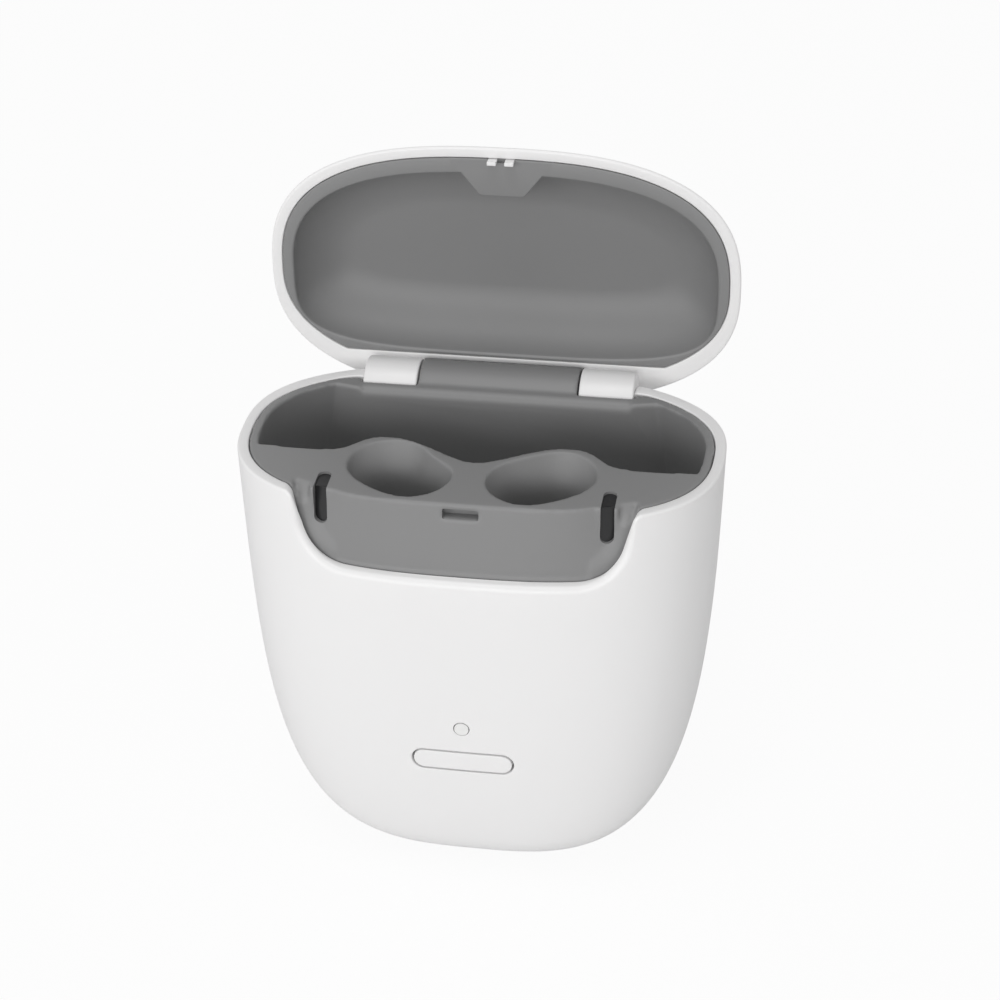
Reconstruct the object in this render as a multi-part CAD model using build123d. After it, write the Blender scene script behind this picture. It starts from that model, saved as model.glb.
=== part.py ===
from build123d import *
import os
from math import atan2, copysign, cos, hypot, pi, radians, sin, sqrt

# Case outline at the rim, in millimetres: X to the right, Y to the back, Z up, floor at 0
WIDTH = 80.0
FRONT_DEPTH = 24.0
REAR_DEPTH = 22.6
RIM_HEIGHT = 75.5
WALL = 1.8
HINGE_WALL = 3.3
FRONT_POWER = 2.65
REAR_POWER = 2.45
LOW_POWER = 3.1
TAPER = 2.5
BULGE = 5.0
SIDE_ROUNDING = 3.8
DEPTH_ROUNDING = 4.2
APEX_BELOW_FLAT = 1.2
OUTLINE_POINTS = 40

# Foot and shell floor
FOOT_DROP = 0.6
FOOT_RECESS = 0.6
FOOT_HALF_X = 15.0
FOOT_HALF_Y = 11.0
FLOOR_THICKNESS = 2.0

# Gaps between pieces
TRAY_GAP = 0.1
PARTING_GAP = 0.3
RUNNING_GAP = 0.03
SWING_GAP = 0.3
SLIP_GAP = 0.05

# Thumb hollow in the front of the shell
SCOOP_DEPTH = 12.0
SCOOP_HALF_TOP = 27.6
SCOOP_HALF_BOTTOM = 25.0
SCOOP_CORNER = 8.0
SCOOP_LEDGE = 0.25

# Inner tray
TRAY_DEPTH = 24.0
TRAY_WALL = 1.6
TRAY_REAR_POWER = 2.33
LIP = 1.5
DECK_THICKNESS = 1.8
RECESS_DEPTH = 20.0
RECESS_BACK = 13.0
DECK_BACK_WALL = 1.4
CREASE = [(0, -20.35), (12, -20.2), (19, -19.2), (22.2, -17.95), (25.5, -16.6), (30, -14.6)]
DECK_EDGE = [(0, -7.8), (4.6, -6.1), (8.3, -3.9), (11.5, -2.4), (15, -1.75), (17.8, -2.4),
             (19.8, -4.1), (21.8, -5.9), (25, -6.8), (31, -6.9), (40, -6.9)]

# Pockets for the two hearing aids
POCKET_MOUTH = [(2.8, -11.5), (4.4, -16.5), (8.8, -18.9), (15, -17), (20, -11.5),
                (19.2, -6), (15.2, -3.1), (8, -5.5)]
POCKET_DEPTH = 17.0
POCKET_CENTRE = (11.5, -12.8)
POCKET_FOOT = (6.8, 4.0)
POCKET_TILT = 15.0
POCKET_WALL = 1.4
POCKET_NARROWING = 0.6

# Indicator slots that fold over the front edge of the deck
SLOT_X = 23.0
SLOT_WIDTH = 2.2
SLOT_BACK = -13.6
SLOT_DROP = 6.2
WINDOW_SINK = 0.9
WINDOW_THICKNESS = 2.0

# Latch
LATCH_SLOT_WIDTH = 5.8
LATCH_SLOT_TOP = 0.9
LATCH_SLOT_HEIGHT = 1.7
LATCH_SLOT_DEPTH = 1.0
PRONG_WIDTH = 1.5
PRONG_GAP = 1.4
PRONG_DROP = 2.0
PRONG_THICKNESS = 0.8
NOSE_HEIGHT = 0.7
NOSE_OUT = 0.55
PRONG_INSET = 0.1
LATCH_BASE_INSET = 0.5
LATCH_BASE_DEPTH = 1.4
LATCH_BASE_HEIGHT = 1.0

# Hinge
HINGE_Y = 19.65
HINGE_BELOW_RIM = 3.6
KNUCKLE_RADIUS = 5.4
KNUCKLE_BACK = 22.8
BLOCK_HALF = 13.6
KNUCKLE_END = 23.2
PIN_RADIUS = 1.0
BUSH_RADIUS = 1.8
BUSH_LENGTH = 5.0
OPEN_ANGLE = 92.0

# Lid
LID_HEIGHT = 13.0
LID_SIDE_TAPER = 3.0
LID_DEPTH_TAPER = 5.0
LID_ROUNDING = 3.0
LID_WALL = 1.8
CHORD_Y = 14.7
RING_SIDE = 2.0
RING_FRONT = 2.85
DISH_DEPTH = 8.5
DISH_REAR = 13.8
DISH_REAR_POWER = 4.0
DISH_NARROWING = 9.5
DISH_ROUNDING = 1.6
TAB_ROOT_HALF = 6.9
TAB_TIP_HALF = 4.3
TAB_TIP_Y = -15.4
TAB_THICKNESS = 2.6
TAB_CORNER = 1.2
MAGNET_RADIUS = 2.0
MAGNET_THICKNESS = 1.4
MAGNET_SKIN = 0.6
MAGNET_Y = -18.0

# Button and status light
BUTTON_BELOW_RIM = 47.35
BUTTON_LENGTH = 16.5
BUTTON_HEIGHT = 3.6
BUTTON_GROOVE = 0.35
BUTTON_TRAVEL = 0.4
BUTTON_FLANGE = 1.5
FLANGE_THICKNESS = 1.0
FLANGE_Y = -23.9
PLUNGER_RADIUS = 1.5
SWITCH_SIZE = 6.0
SWITCH_THICKNESS = 2.6
LIGHT_BELOW_RIM = 40.4
LIGHT_RADIUS = 1.25
LENS_FLANGE = 0.8

# Boards, chassis and battery
BOARD = 1.2
CHASSIS_PLATE = 1.6
SPINE_Y = 2.0
SPINE_HALF = 22.0
SPINE_BOTTOM = 6.0
POST_X = 9.5
POST_RADIUS = 2.8
BUTTON_BOARD_FACE = -19.2
BUTTON_BOARD_HALF = 12.0
BUTTON_BOARD_LOW = 22.0
BUTTON_BOARD_HIGH = 41.0
BRACKET_STANDOFF = 1.4
MAIN_BOARD_HALF = 20.0
MAIN_BOARD_LOW = 18.0
MAIN_BOARD_HIGH = 46.0
STANDOFF = 2.4
STANDOFF_RADIUS = 2.0
SHELF_TOP = 14.0
SHELF_BACK = 14.0
BATTERY_HALF = 18.0
BATTERY_THICKNESS = 8.0
BATTERY_HEIGHT = 34.0
TAPE = 0.5
SOCKET_WIDTH = 8.94
SOCKET_HEIGHT = 3.2
SOCKET_LENGTH = 7.3
SOCKET_MOUTH = 21.0
SOCKET_HOLE_GAP = 0.3
SOCKET_SHELL = 0.3
TONGUE = 0.7
CONTACT_BOARD_HALF = 25.0
CONTACT_BOARD_FRONT = -17.2
CONTACT_BOARD_BACK = -9.6
CONTACT_PIN_RADIUS = 0.7
CONTACT_PIN_SPACING = 4.0
CONTACT_PIN_RISE = 0.5
INDICATOR_HEIGHT = 0.8
INDICATOR_Y = -14.8
INDICATOR_HALF = 1.0
STEM_HALF = 0.6
SENSOR_HALF = 1.5
SENSOR_HEIGHT = 1.0
SENSOR_Y = -17.2
BOSS_RADIUS = 2.4
DECK_SCREW = (29.0, -11.5)
REAR_SCREW = (12.0, 16.0)
CONTACT_SCREW_Y = -13.5
LEAD_HOLE = (12.0, 5.0)
SCREW_RADIUS = 0.9
SCREW_HEAD_RADIUS = 1.7
SCREW_HEAD = 1.1
SCREW_BITE = 5.0
SHORT_BITE = 2.4
CHIP = 8.0
CHIP_HEIGHT = 1.0
CONNECTOR = (6.0, 4.5, 3.5)
SOCKET_BOARD_HALF = 10.0
SOCKET_SCREW_X = 7.2
SOCKET_SCREW_Y = 9.2
PLUNGER_DIP = 0.9
LED_HALF = 1.0

# Reference heights
SHELL_BOTTOM = FOOT_DROP
SHELL_HEIGHT = RIM_HEIGHT - SHELL_BOTTOM
APEX_DEPTH = SHELL_HEIGHT + APEX_BELOW_FLAT
HINGE_Z = RIM_HEIGHT - HINGE_BELOW_RIM
NOTCH_RADIUS = KNUCKLE_RADIUS + SWING_GAP
BUTTON_Z = RIM_HEIGHT - BUTTON_BELOW_RIM
LIGHT_Z = RIM_HEIGHT - LIGHT_BELOW_RIM
TRAY_BOTTOM = RIM_HEIGHT - TRAY_DEPTH
FLOOR_TOP = SHELL_BOTTOM + FLOOR_THICKNESS
FAR = 60.0
SPREAD = 3.0
BODY_STEPS = (0, 0.03, 0.08, 0.16, 0.26, 0.38, 0.5, 0.6, 0.7, 0.78, 0.85, 0.905, 0.945, 0.975, 1.0)
DISH_STEPS = (0, 0.2, 0.4, 0.6, 0.75, 0.87, 0.95, 1.0)
LID_STEPS = (0, 0.18, 0.36, 0.52, 0.66, 0.78, 0.88, 0.95, 0.985)


def oval(half, front, rear, front_power, rear_power, z):
    """Closed curve like a rounded egg, with its own front and rear depth."""
    points = []
    for step in range(OUTLINE_POINTS):
        angle = 2 * pi * step / OUTLINE_POINTS
        c = cos(angle)
        s = sin(angle)
        depth, power = (rear, rear_power) if s >= 0 else (front, front_power)
        points.append((half * copysign(abs(c) ** (2 / power), c),
                       depth * copysign(abs(s) ** (2 / power), s), z))
    return Wire([Edge.make_spline(points, periodic=True)])


def round_off(share, power):
    """How far the outline has closed in at a share of the way to the apex."""
    return max(1 - share ** power, 0) ** (1 / power)


def body_sizes(depth, inset, rear_inset):
    """Half width, front and rear depth of the case at a depth below its rim."""
    share = max(depth, 0) / APEX_DEPTH
    side = round_off(share, SIDE_ROUNDING)
    deep = round_off(share, DEPTH_ROUNDING)
    half = (WIDTH / 2 - TAPER * share) * side - inset
    front = (FRONT_DEPTH + BULGE * share) * deep - inset
    rear = (REAR_DEPTH + BULGE * share) * deep - rear_inset
    return half, front, rear


def body_power(depth, rim_power):
    share = max(depth, 0) / APEX_DEPTH
    return rim_power + (LOW_POWER - rim_power) * share


def body_oval(depth, inset, rear_inset, rear_power=REAR_POWER):
    half, front, rear = body_sizes(depth, inset, rear_inset)
    return oval(half, front, rear, body_power(depth, FRONT_POWER),
                body_power(depth, rear_power), RIM_HEIGHT - depth)


def front_at(x, depth, inset):
    """Y of the case's front surface at one place across and one depth."""
    half, front, rear = body_sizes(depth, inset, inset)
    power = body_power(depth, FRONT_POWER)
    return -front * (1 - (abs(x) / half) ** power) ** (1 / power)


def mirrored(points):
    """A half outline from x = 0 outwards, completed to the left."""
    return [(-x, y) for x, y in reversed(points[1:])] + list(points)


def open_region(points, z, y_end):
    """Closed wire made of a curve across the case and a straight back edge."""
    curve = Edge.make_spline([(x, y, z) for x, y in points])
    x0, y0 = points[0]
    x1, y1 = points[-1]
    return Wire([curve, Edge.make_line((x1, y1, z), (x1, y_end, z)),
                 Edge.make_line((x1, y_end, z), (x0, y_end, z)),
                 Edge.make_line((x0, y_end, z), (x0, y0, z))])


def region_prism(points, y_end, low, high):
    wire = open_region(points, low, y_end)
    return Solid.extrude(Face(wire), Vector(0, 0, high - low))


def block(x0, x1, y0, y1, z0, z1):
    return Pos((x0 + x1) / 2, (y0 + y1) / 2, (z0 + z1) / 2) * Box(x1 - x0, y1 - y0, z1 - z0)


def rod_x(radius, x0, x1, y, z):
    return Pos((x0 + x1) / 2, y, z) * Rot(0, 90, 0) * Cylinder(radius, x1 - x0)


def rod_y(radius, y0, y1, x, z):
    return Pos(x, (y0 + y1) / 2, z) * Rot(90, 0, 0) * Cylinder(radius, y1 - y0)


def rod_z(radius, z0, z1, x, y):
    return Pos(x, y, (z0 + z1) / 2) * Cylinder(radius, z1 - z0)


def pill_y(length, height, y0, y1, z):
    """Bar along Y whose section is a pill lying across."""
    face = Plane.XZ * SlotOverall(length, height)
    return Pos(0, y1, z) * extrude(face, amount=y1 - y0)


def screw(x, y, head_z, bite):
    """Pan head screw along Z, driven upwards, with its head below the joint face."""
    head = rod_z(SCREW_HEAD_RADIUS, head_z - SCREW_HEAD, head_z, x, y)
    return head + rod_z(SCREW_RADIUS, head_z, head_z + bite, x, y)


def screw_y(x, z, head_y, bite):
    """Pan head screw along Y, driven towards the back."""
    head = rod_y(SCREW_HEAD_RADIUS, head_y - SCREW_HEAD, head_y, x, z)
    return head + rod_y(SCREW_RADIUS, head_y, head_y + bite, x, z)


# Outer shell: one white cup with a thumb hollow, a hinge notch and small openings
def cavity_rear(depth):
    """The rear wall is thick beside the hinge and thins towards the floor."""
    return HINGE_WALL + (WALL - HINGE_WALL) * depth / SHELL_HEIGHT


def cavity_oval(depth, inset):
    return body_oval(depth, WALL + inset, cavity_rear(depth) + inset, TRAY_REAR_POWER)


def cavity_loft(top, bottom, inset, steps=4):
    """Solid of the shell's inner form, drawn in by an inset, between two depths."""
    wires = [cavity_oval(top + (bottom - top) * k / steps, inset) for k in range(steps + 1)]
    return Solid.make_loft(wires)


def opened(solid, inset):
    """The same solid carried straight up past the rim, to cut an open mouth."""
    return solid + Solid.extrude(Face(cavity_oval(0, inset)), Vector(0, 0, SPREAD))


shell_form = Solid.make_loft([body_oval(share * SHELL_HEIGHT, 0, 0) for share in BODY_STEPS])
cavity_depth = RIM_HEIGHT - FLOOR_TOP
cavity = Solid.make_loft([cavity_oval(share * cavity_depth, 0) for share in BODY_STEPS])
scoop_side = (SCOOP_HALF_TOP - SCOOP_HALF_BOTTOM) / SCOOP_DEPTH
scoop_mouth = SCOOP_HALF_TOP + SPREAD * scoop_side
scoop_line = FilletPolyline((-scoop_mouth, SPREAD), (-SCOOP_HALF_BOTTOM, -SCOOP_DEPTH),
                            (SCOOP_HALF_BOTTOM, -SCOOP_DEPTH), (scoop_mouth, SPREAD),
                            radius=SCOOP_CORNER)
scoop_close = Line(scoop_line @ 1, scoop_line @ 0)
scoop_face = Plane.XZ * make_face([*scoop_line.edges(), scoop_close])
scoop = Pos(0, CREASE[-1][1] + SPREAD, RIM_HEIGHT) * extrude(scoop_face, amount=FAR)
notch_half = KNUCKLE_END + SWING_GAP
notch = rod_x(NOTCH_RADIUS, -notch_half, notch_half, HINGE_Y, HINGE_Z)
notch = notch + block(-notch_half, notch_half, HINGE_Y, FAR, HINGE_Z, RIM_HEIGHT + SPREAD)
button_hole = pill_y(BUTTON_LENGTH + 2 * BUTTON_GROOVE, BUTTON_HEIGHT + 2 * BUTTON_GROOVE,
                     -FAR, FLANGE_Y, BUTTON_Z)
light_hole = rod_y(LIGHT_RADIUS, -FAR, FLANGE_Y, 0, LIGHT_Z)
socket_low = SHELF_TOP - CHASSIS_PLATE - BOARD - SOCKET_HEIGHT
socket_z = socket_low + SOCKET_HEIGHT / 2
socket_hole = pill_y(SOCKET_WIDTH + 2 * SOCKET_HOLE_GAP, SOCKET_HEIGHT + 2 * SOCKET_HOLE_GAP,
                     SOCKET_MOUTH - SOCKET_LENGTH / 2, FAR, socket_z)
foot_top = FOOT_DROP + FOOT_RECESS
foot_seat = Pos(0, 0, SHELL_BOTTOM) * extrude(Ellipse(FOOT_HALF_X, FOOT_HALF_Y), amount=FOOT_RECESS)
head_seat = foot_top + SCREW_HEAD / 2
outer_shell = shell_form - opened(cavity, 0) - scoop - notch - button_hole - light_hole
outer_shell = outer_shell - socket_hole - foot_seat
for side in (-1, 1):
    outer_shell = outer_shell - rod_z(SCREW_RADIUS, 0, FLOOR_TOP + SPREAD, side * POST_X, SPINE_Y)
    outer_shell = outer_shell - rod_z(SCREW_HEAD_RADIUS, 0, head_seat, side * POST_X, SPINE_Y)

# Foot pad: oval rubber pad let into the bottom, over the two screw heads
foot_pad = extrude(Ellipse(FOOT_HALF_X, FOOT_HALF_Y), amount=foot_top)
base_screws = []
for side in (-1, 1):
    foot_pad = foot_pad - rod_z(SCREW_HEAD_RADIUS, head_seat - SCREW_HEAD, FAR, side * POST_X, SPINE_Y)
    base_screws.append(screw(side * POST_X, SPINE_Y, head_seat, SCREW_BITE))


# Inner tray: lip, deck with two pockets, sloped front face, rear recess and hinge block
def hollow_y(x, crease_y, depth):
    """Y of the sloped front face, which ends on a narrow ledge behind the shell's edge."""
    low_y = front_at(x, SCOOP_DEPTH, WALL + TRAY_GAP) + SCOOP_LEDGE
    return crease_y + (low_y - crease_y) * depth / SCOOP_DEPTH


def hollow_curve(depth):
    return mirrored([(x, hollow_y(x, crease_y, depth)) for x, crease_y in CREASE])


def shifted(points, dy):
    return [(x, y + dy) for x, y in points]


def pocket_wire(side, depth, grow):
    """Pocket outline: the open mouth narrows to a tilted oval at its foot."""
    share = (min(max(depth, 0), POCKET_DEPTH) / POCKET_DEPTH) ** POCKET_NARROWING
    foot_x, foot_y = POCKET_FOOT
    centre_x, centre_y = POCKET_CENTRE
    points = []
    for x, y in POCKET_MOUTH:
        turn = atan2(y - centre_y, x - centre_x) - radians(POCKET_TILT)
        reach = foot_x * foot_y / sqrt((foot_y * cos(turn)) ** 2 + (foot_x * sin(turn)) ** 2)
        away = hypot(x - centre_x, y - centre_y)
        radius = away + (reach - away) * share + grow
        points.append((side * (centre_x + (x - centre_x) * radius / away),
                       centre_y + (y - centre_y) * radius / away, RIM_HEIGHT - depth))
    if side < 0:
        points.reverse()
    return Wire([Edge.make_spline(points, periodic=True)])


def pocket_form(side, grow):
    depths = [-SPREAD / 2, 0, 3, 7, 12, POCKET_DEPTH + grow]
    return Solid.make_loft([pocket_wire(side, depth, grow) for depth in depths])


def slot_form(side, near, far, trim):
    """Bar that folds over the deck's front edge, between two depths below its surface."""
    crease_y = CREASE[3][1] + (CREASE[4][1] - CREASE[3][1]) * (SLOT_X - CREASE[3][0]) / (
        CREASE[4][0] - CREASE[3][0])
    slope = hollow_y(SLOT_X, crease_y, 1) - crease_y
    outline = [(SLOT_BACK, -near), (crease_y + slope * near + near, -near),
               (crease_y + slope * SLOT_DROP + near, -SLOT_DROP),
               (crease_y + slope * SLOT_DROP + far, -SLOT_DROP),
               (crease_y + slope * far + far, -far), (SLOT_BACK, -far)]
    profile = Plane.YZ * make_face(Polyline(*outline, close=True))
    bar = Pos(side * SLOT_X - SLOT_WIDTH / 2, 0, RIM_HEIGHT) * extrude(profile, amount=SLOT_WIDTH)
    width = SLOT_WIDTH - 2 * trim
    tall = Plane.XZ * (Rot(0, 0, 90) * SlotOverall(2 * SLOT_DROP - 2 * trim, width))
    front = Pos(side * SLOT_X, FAR / 2, RIM_HEIGHT) * extrude(tall, amount=FAR * 1.5)
    long = Rot(0, 0, 90) * SlotOverall(FAR, width)
    back = Pos(side * SLOT_X, SLOT_BACK - trim - FAR / 2, RIM_HEIGHT - FAR / 2) * extrude(long, amount=FAR)
    return bar & front & back


def slot_cut(side):
    """The same bar, open to the deck above and to the front."""
    under = slot_form(side, WINDOW_SINK, WINDOW_SINK + WINDOW_THICKNESS, 0)
    wide = SLOT_WIDTH / 2
    tall = Plane.XZ * (Rot(0, 0, 90) * SlotOverall(2 * SLOT_DROP, SLOT_WIDTH))
    ahead = Pos(side * SLOT_X, 0, RIM_HEIGHT) * extrude(tall, amount=FAR)
    ahead = ahead & block(side * SLOT_X - wide, side * SLOT_X + wide, -FAR, SLOT_BACK - wide,
                          RIM_HEIGHT - SLOT_DROP, RIM_HEIGHT + SPREAD)
    solid_behind = region_prism(shifted(hollow_curve(SLOT_DROP / 2), WINDOW_SINK), FAR,
                                RIM_HEIGHT - FAR, RIM_HEIGHT - WINDOW_SINK)
    long = Rot(0, 0, 90) * SlotOverall(FAR, SLOT_WIDTH)
    above = Pos(side * SLOT_X, SLOT_BACK - FAR / 2, RIM_HEIGHT - WINDOW_SINK) * extrude(long, amount=SPREAD)
    return under + (ahead - solid_behind) + above


deck_underside = RIM_HEIGHT - DECK_THICKNESS
recess_floor = RECESS_DEPTH + DECK_THICKNESS
cup_bottom = RIM_HEIGHT - POCKET_DEPTH - POCKET_WALL
crease_curve = mirrored(CREASE)
edge_curve = mirrored(DECK_EDGE)
tray = cavity_loft(0, TRAY_DEPTH, TRAY_GAP)
hollow_wires = [open_region(hollow_curve(depth), RIM_HEIGHT - depth, -FAR)
                for depth in (-SPREAD, SCOOP_DEPTH + SPREAD)]
tray = tray - (Solid.make_loft(hollow_wires, ruled=True) & scoop)
recess = opened(cavity_loft(0, RECESS_DEPTH, TRAY_GAP + LIP), TRAY_GAP + LIP)
recess = recess & region_prism(edge_curve, RECESS_BACK, RIM_HEIGHT - FAR, RIM_HEIGHT + FAR)
tray = tray - recess
edge_wall = region_prism(shifted(edge_curve, -DECK_BACK_WALL), -FAR, 0, RIM_HEIGHT)
under_front = cavity_loft(DECK_THICKNESS, SCOOP_DEPTH + TRAY_WALL, TRAY_GAP + TRAY_WALL) & edge_wall
under_front = under_front & region_prism(shifted(crease_curve, DECK_THICKNESS), FAR, 0, RIM_HEIGHT)
under_low = cavity_loft(SCOOP_DEPTH + TRAY_WALL, TRAY_DEPTH + SPREAD, TRAY_GAP + TRAY_WALL)
under_back = under_low & block(-FAR, FAR, -FAR, RECESS_BACK, 0, RIM_HEIGHT - recess_floor)
under = under_front + (under_low & edge_wall) + under_back
for side in (-1, 1):
    under = under - pocket_form(side, POCKET_WALL)
    under = under - rod_z(BOSS_RADIUS, TRAY_BOTTOM, RIM_HEIGHT, side * DECK_SCREW[0], DECK_SCREW[1])
under = under - rod_z(BOSS_RADIUS, cup_bottom, RIM_HEIGHT, 0, CONTACT_SCREW_Y)
tray = tray - under
hinge_block = rod_x(KNUCKLE_RADIUS, -BLOCK_HALF, BLOCK_HALF, HINGE_Y, HINGE_Z)
hinge_block = hinge_block & block(-FAR, FAR, -FAR, KNUCKLE_BACK, 0, FAR * 2)
tray = tray + hinge_block
lip_round = block(-KNUCKLE_END, KNUCKLE_END, RECESS_BACK - LIP, RECESS_BACK + LIP,
                  RIM_HEIGHT - LIP, RIM_HEIGHT + SPREAD)
lip_round = lip_round - rod_x(LIP, -FAR, FAR, RECESS_BACK + LIP, RIM_HEIGHT - LIP)
lip_round = lip_round - hinge_block
tray = tray - lip_round
for side in (-1, 1):
    start, end = sorted((side * BLOCK_HALF, side * notch_half))
    tray = tray - rod_x(NOTCH_RADIUS, start, end, HINGE_Y, HINGE_Z)
    tray = tray - block(start, end, HINGE_Y, FAR, HINGE_Z, RIM_HEIGHT + SPREAD)
    tray = tray - pocket_form(side, 0) - slot_cut(side)
    for shift in (-CONTACT_PIN_SPACING / 2, CONTACT_PIN_SPACING / 2):
        tray = tray - rod_z(CONTACT_PIN_RADIUS, 0, RIM_HEIGHT - POCKET_DEPTH + SPREAD,
                            side * POCKET_CENTRE[0] + shift, POCKET_CENTRE[1])
latch_slot = block(-LATCH_SLOT_WIDTH / 2, LATCH_SLOT_WIDTH / 2, -FAR, CREASE[0][1] + LATCH_SLOT_DEPTH,
                   RIM_HEIGHT - LATCH_SLOT_TOP - LATCH_SLOT_HEIGHT, RIM_HEIGHT - LATCH_SLOT_TOP)
tray = tray - latch_slot - rod_x(BUSH_RADIUS, -BLOCK_HALF, BLOCK_HALF, HINGE_Y, HINGE_Z)
chassis_top = TRAY_BOTTOM
chassis_low = chassis_top - CHASSIS_PLATE
screw_places = [(side * x, y) for side in (-1, 1) for x, y in (DECK_SCREW, REAR_SCREW)]
chassis_screws = []
for x, y in screw_places:
    tray = tray - rod_z(SCREW_RADIUS, 0, chassis_low + SCREW_BITE, x, y)
    chassis_screws.append(screw(x, y, chassis_low, SCREW_BITE))
contact_board_low = cup_bottom - BOARD
tray = tray - rod_z(SCREW_RADIUS, 0, contact_board_low + SCREW_BITE, 0, CONTACT_SCREW_Y)

# Indicator windows: smoked light guides behind the two slots, above their lights
indicator_top = cup_bottom + INDICATOR_HEIGHT
windows = {}
indicator_leds = []
for name, side in (("left", -1), ("right", 1)):
    guide = slot_form(side, WINDOW_SINK, WINDOW_SINK + WINDOW_THICKNESS, SLIP_GAP)
    stem = block(side * SLOT_X - STEM_HALF, side * SLOT_X + STEM_HALF, INDICATOR_Y - STEM_HALF,
                 INDICATOR_Y + STEM_HALF, indicator_top + SLIP_GAP, RIM_HEIGHT - WINDOW_SINK - SLIP_GAP)
    windows[name] = guide + stem
    indicator_leds.append(block(side * SLOT_X - INDICATOR_HALF, side * SLOT_X + INDICATOR_HALF,
                                INDICATOR_Y - INDICATOR_HALF, INDICATOR_Y + INDICATOR_HALF,
                                cup_bottom, indicator_top))

# Contact board below the pockets, its pins and its screw, and the lid sensor
contact_board = block(-CONTACT_BOARD_HALF, CONTACT_BOARD_HALF, CONTACT_BOARD_FRONT,
                      CONTACT_BOARD_BACK, contact_board_low, cup_bottom)
contact_board = contact_board - rod_z(SCREW_RADIUS, 0, FAR * 2, 0, CONTACT_SCREW_Y)
contact_screw = screw(0, CONTACT_SCREW_Y, contact_board_low, SCREW_BITE)
pins = {}
for name, side in (("left", -1), ("right", 1)):
    pins[name] = [rod_z(CONTACT_PIN_RADIUS, cup_bottom, RIM_HEIGHT - POCKET_DEPTH + CONTACT_PIN_RISE,
                        side * POCKET_CENTRE[0] + shift, POCKET_CENTRE[1])
                  for shift in (-CONTACT_PIN_SPACING / 2, CONTACT_PIN_SPACING / 2)]
lid_sensor = block(-SENSOR_HALF, SENSOR_HALF, SENSOR_Y - SENSOR_HEIGHT, SENSOR_Y + SENSOR_HEIGHT,
                   deck_underside - SENSOR_HEIGHT, deck_underside)

# Chassis: plate under the tray, spine, two posts, battery shelf and button board bracket
bracket_face = BUTTON_BOARD_FACE + BOARD + BRACKET_STANDOFF
bracket_low = BUTTON_BOARD_LOW - STANDOFF
chassis = Solid.extrude(Face(cavity_oval(TRAY_DEPTH, TRAY_GAP)), Vector(0, 0, -CHASSIS_PLATE))
chassis = Pos(0, 0, chassis_top - (RIM_HEIGHT - TRAY_DEPTH)) * chassis
chassis = chassis + block(-SPINE_HALF, SPINE_HALF, SPINE_Y, SPINE_Y + CHASSIS_PLATE,
                          SPINE_BOTTOM, chassis_low)
chassis = chassis + block(-BATTERY_HALF, BATTERY_HALF, SPINE_Y, SHELF_BACK,
                          SHELF_TOP - CHASSIS_PLATE, SHELF_TOP)
chassis = chassis + block(-BUTTON_BOARD_HALF, BUTTON_BOARD_HALF, bracket_face,
                          bracket_face + CHASSIS_PLATE, bracket_low, chassis_low)
board_corners = [(side * (BUTTON_BOARD_HALF - STANDOFF), z) for side in (-1, 1)
                 for z in (BUTTON_BOARD_LOW + STANDOFF, BUTTON_BOARD_HIGH - STANDOFF)]
main_corners = [(side * (MAIN_BOARD_HALF - STANDOFF), z) for side in (-1, 1)
                for z in (MAIN_BOARD_LOW + STANDOFF, MAIN_BOARD_HIGH - STANDOFF)]
main_back = SPINE_Y - STANDOFF
main_face = main_back - BOARD
for x, z in board_corners:
    chassis = chassis + rod_y(STANDOFF_RADIUS, bracket_face - BRACKET_STANDOFF, bracket_face, x, z)
for x, z in main_corners:
    chassis = chassis + rod_y(STANDOFF_RADIUS, main_back, SPINE_Y, x, z)
for side in (-1, 1):
    post = rod_z(POST_RADIUS, FLOOR_TOP, SHELF_TOP, side * POST_X, SPINE_Y)
    chassis = chassis + post - rod_z(SCREW_RADIUS, 0, head_seat + SCREW_BITE, side * POST_X, SPINE_Y)
board_bite = BOARD + BRACKET_STANDOFF + CHASSIS_PLATE
main_bite = BOARD + STANDOFF + CHASSIS_PLATE / 2
for x, z in board_corners:
    chassis = chassis - rod_y(SCREW_RADIUS, BUTTON_BOARD_FACE, BUTTON_BOARD_FACE + board_bite, x, z)
for x, z in main_corners:
    chassis = chassis - rod_y(SCREW_RADIUS, main_face, main_face + main_bite, x, z)
for x, y in screw_places:
    chassis = chassis - rod_z(SCREW_RADIUS, 0, FAR * 2, x, y)
lead_x, lead_y = LEAD_HOLE
chassis = chassis - block(-lead_x / 2, lead_x / 2, CONTACT_SCREW_Y - lead_y / 2, CONTACT_SCREW_Y + lead_y / 2,
                          chassis_low, chassis_top)
socket_screw_places = [(side * SOCKET_SCREW_X, SOCKET_SCREW_Y) for side in (-1, 1)]
socket_board_top = SHELF_TOP - CHASSIS_PLATE
socket_board_low = socket_board_top - BOARD
for x, y in socket_screw_places:
    chassis = chassis - rod_z(SCREW_RADIUS, socket_board_low, socket_board_low + SHORT_BITE, x, y)

# Battery on its shelf, held to the spine with foam tape
battery_front = SPINE_Y + CHASSIS_PLATE + TAPE
battery = block(-BATTERY_HALF, BATTERY_HALF, battery_front, battery_front + BATTERY_THICKNESS,
                SHELF_TOP, SHELF_TOP + BATTERY_HEIGHT)
battery = fillet(battery.edges().filter_by(Axis.Z), STANDOFF_RADIUS)
battery_tape = block(-BATTERY_HALF + STANDOFF, BATTERY_HALF - STANDOFF, SPINE_Y + CHASSIS_PLATE,
                     battery_front, SHELF_TOP + STANDOFF, SHELF_TOP + BATTERY_HEIGHT - STANDOFF)

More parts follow.
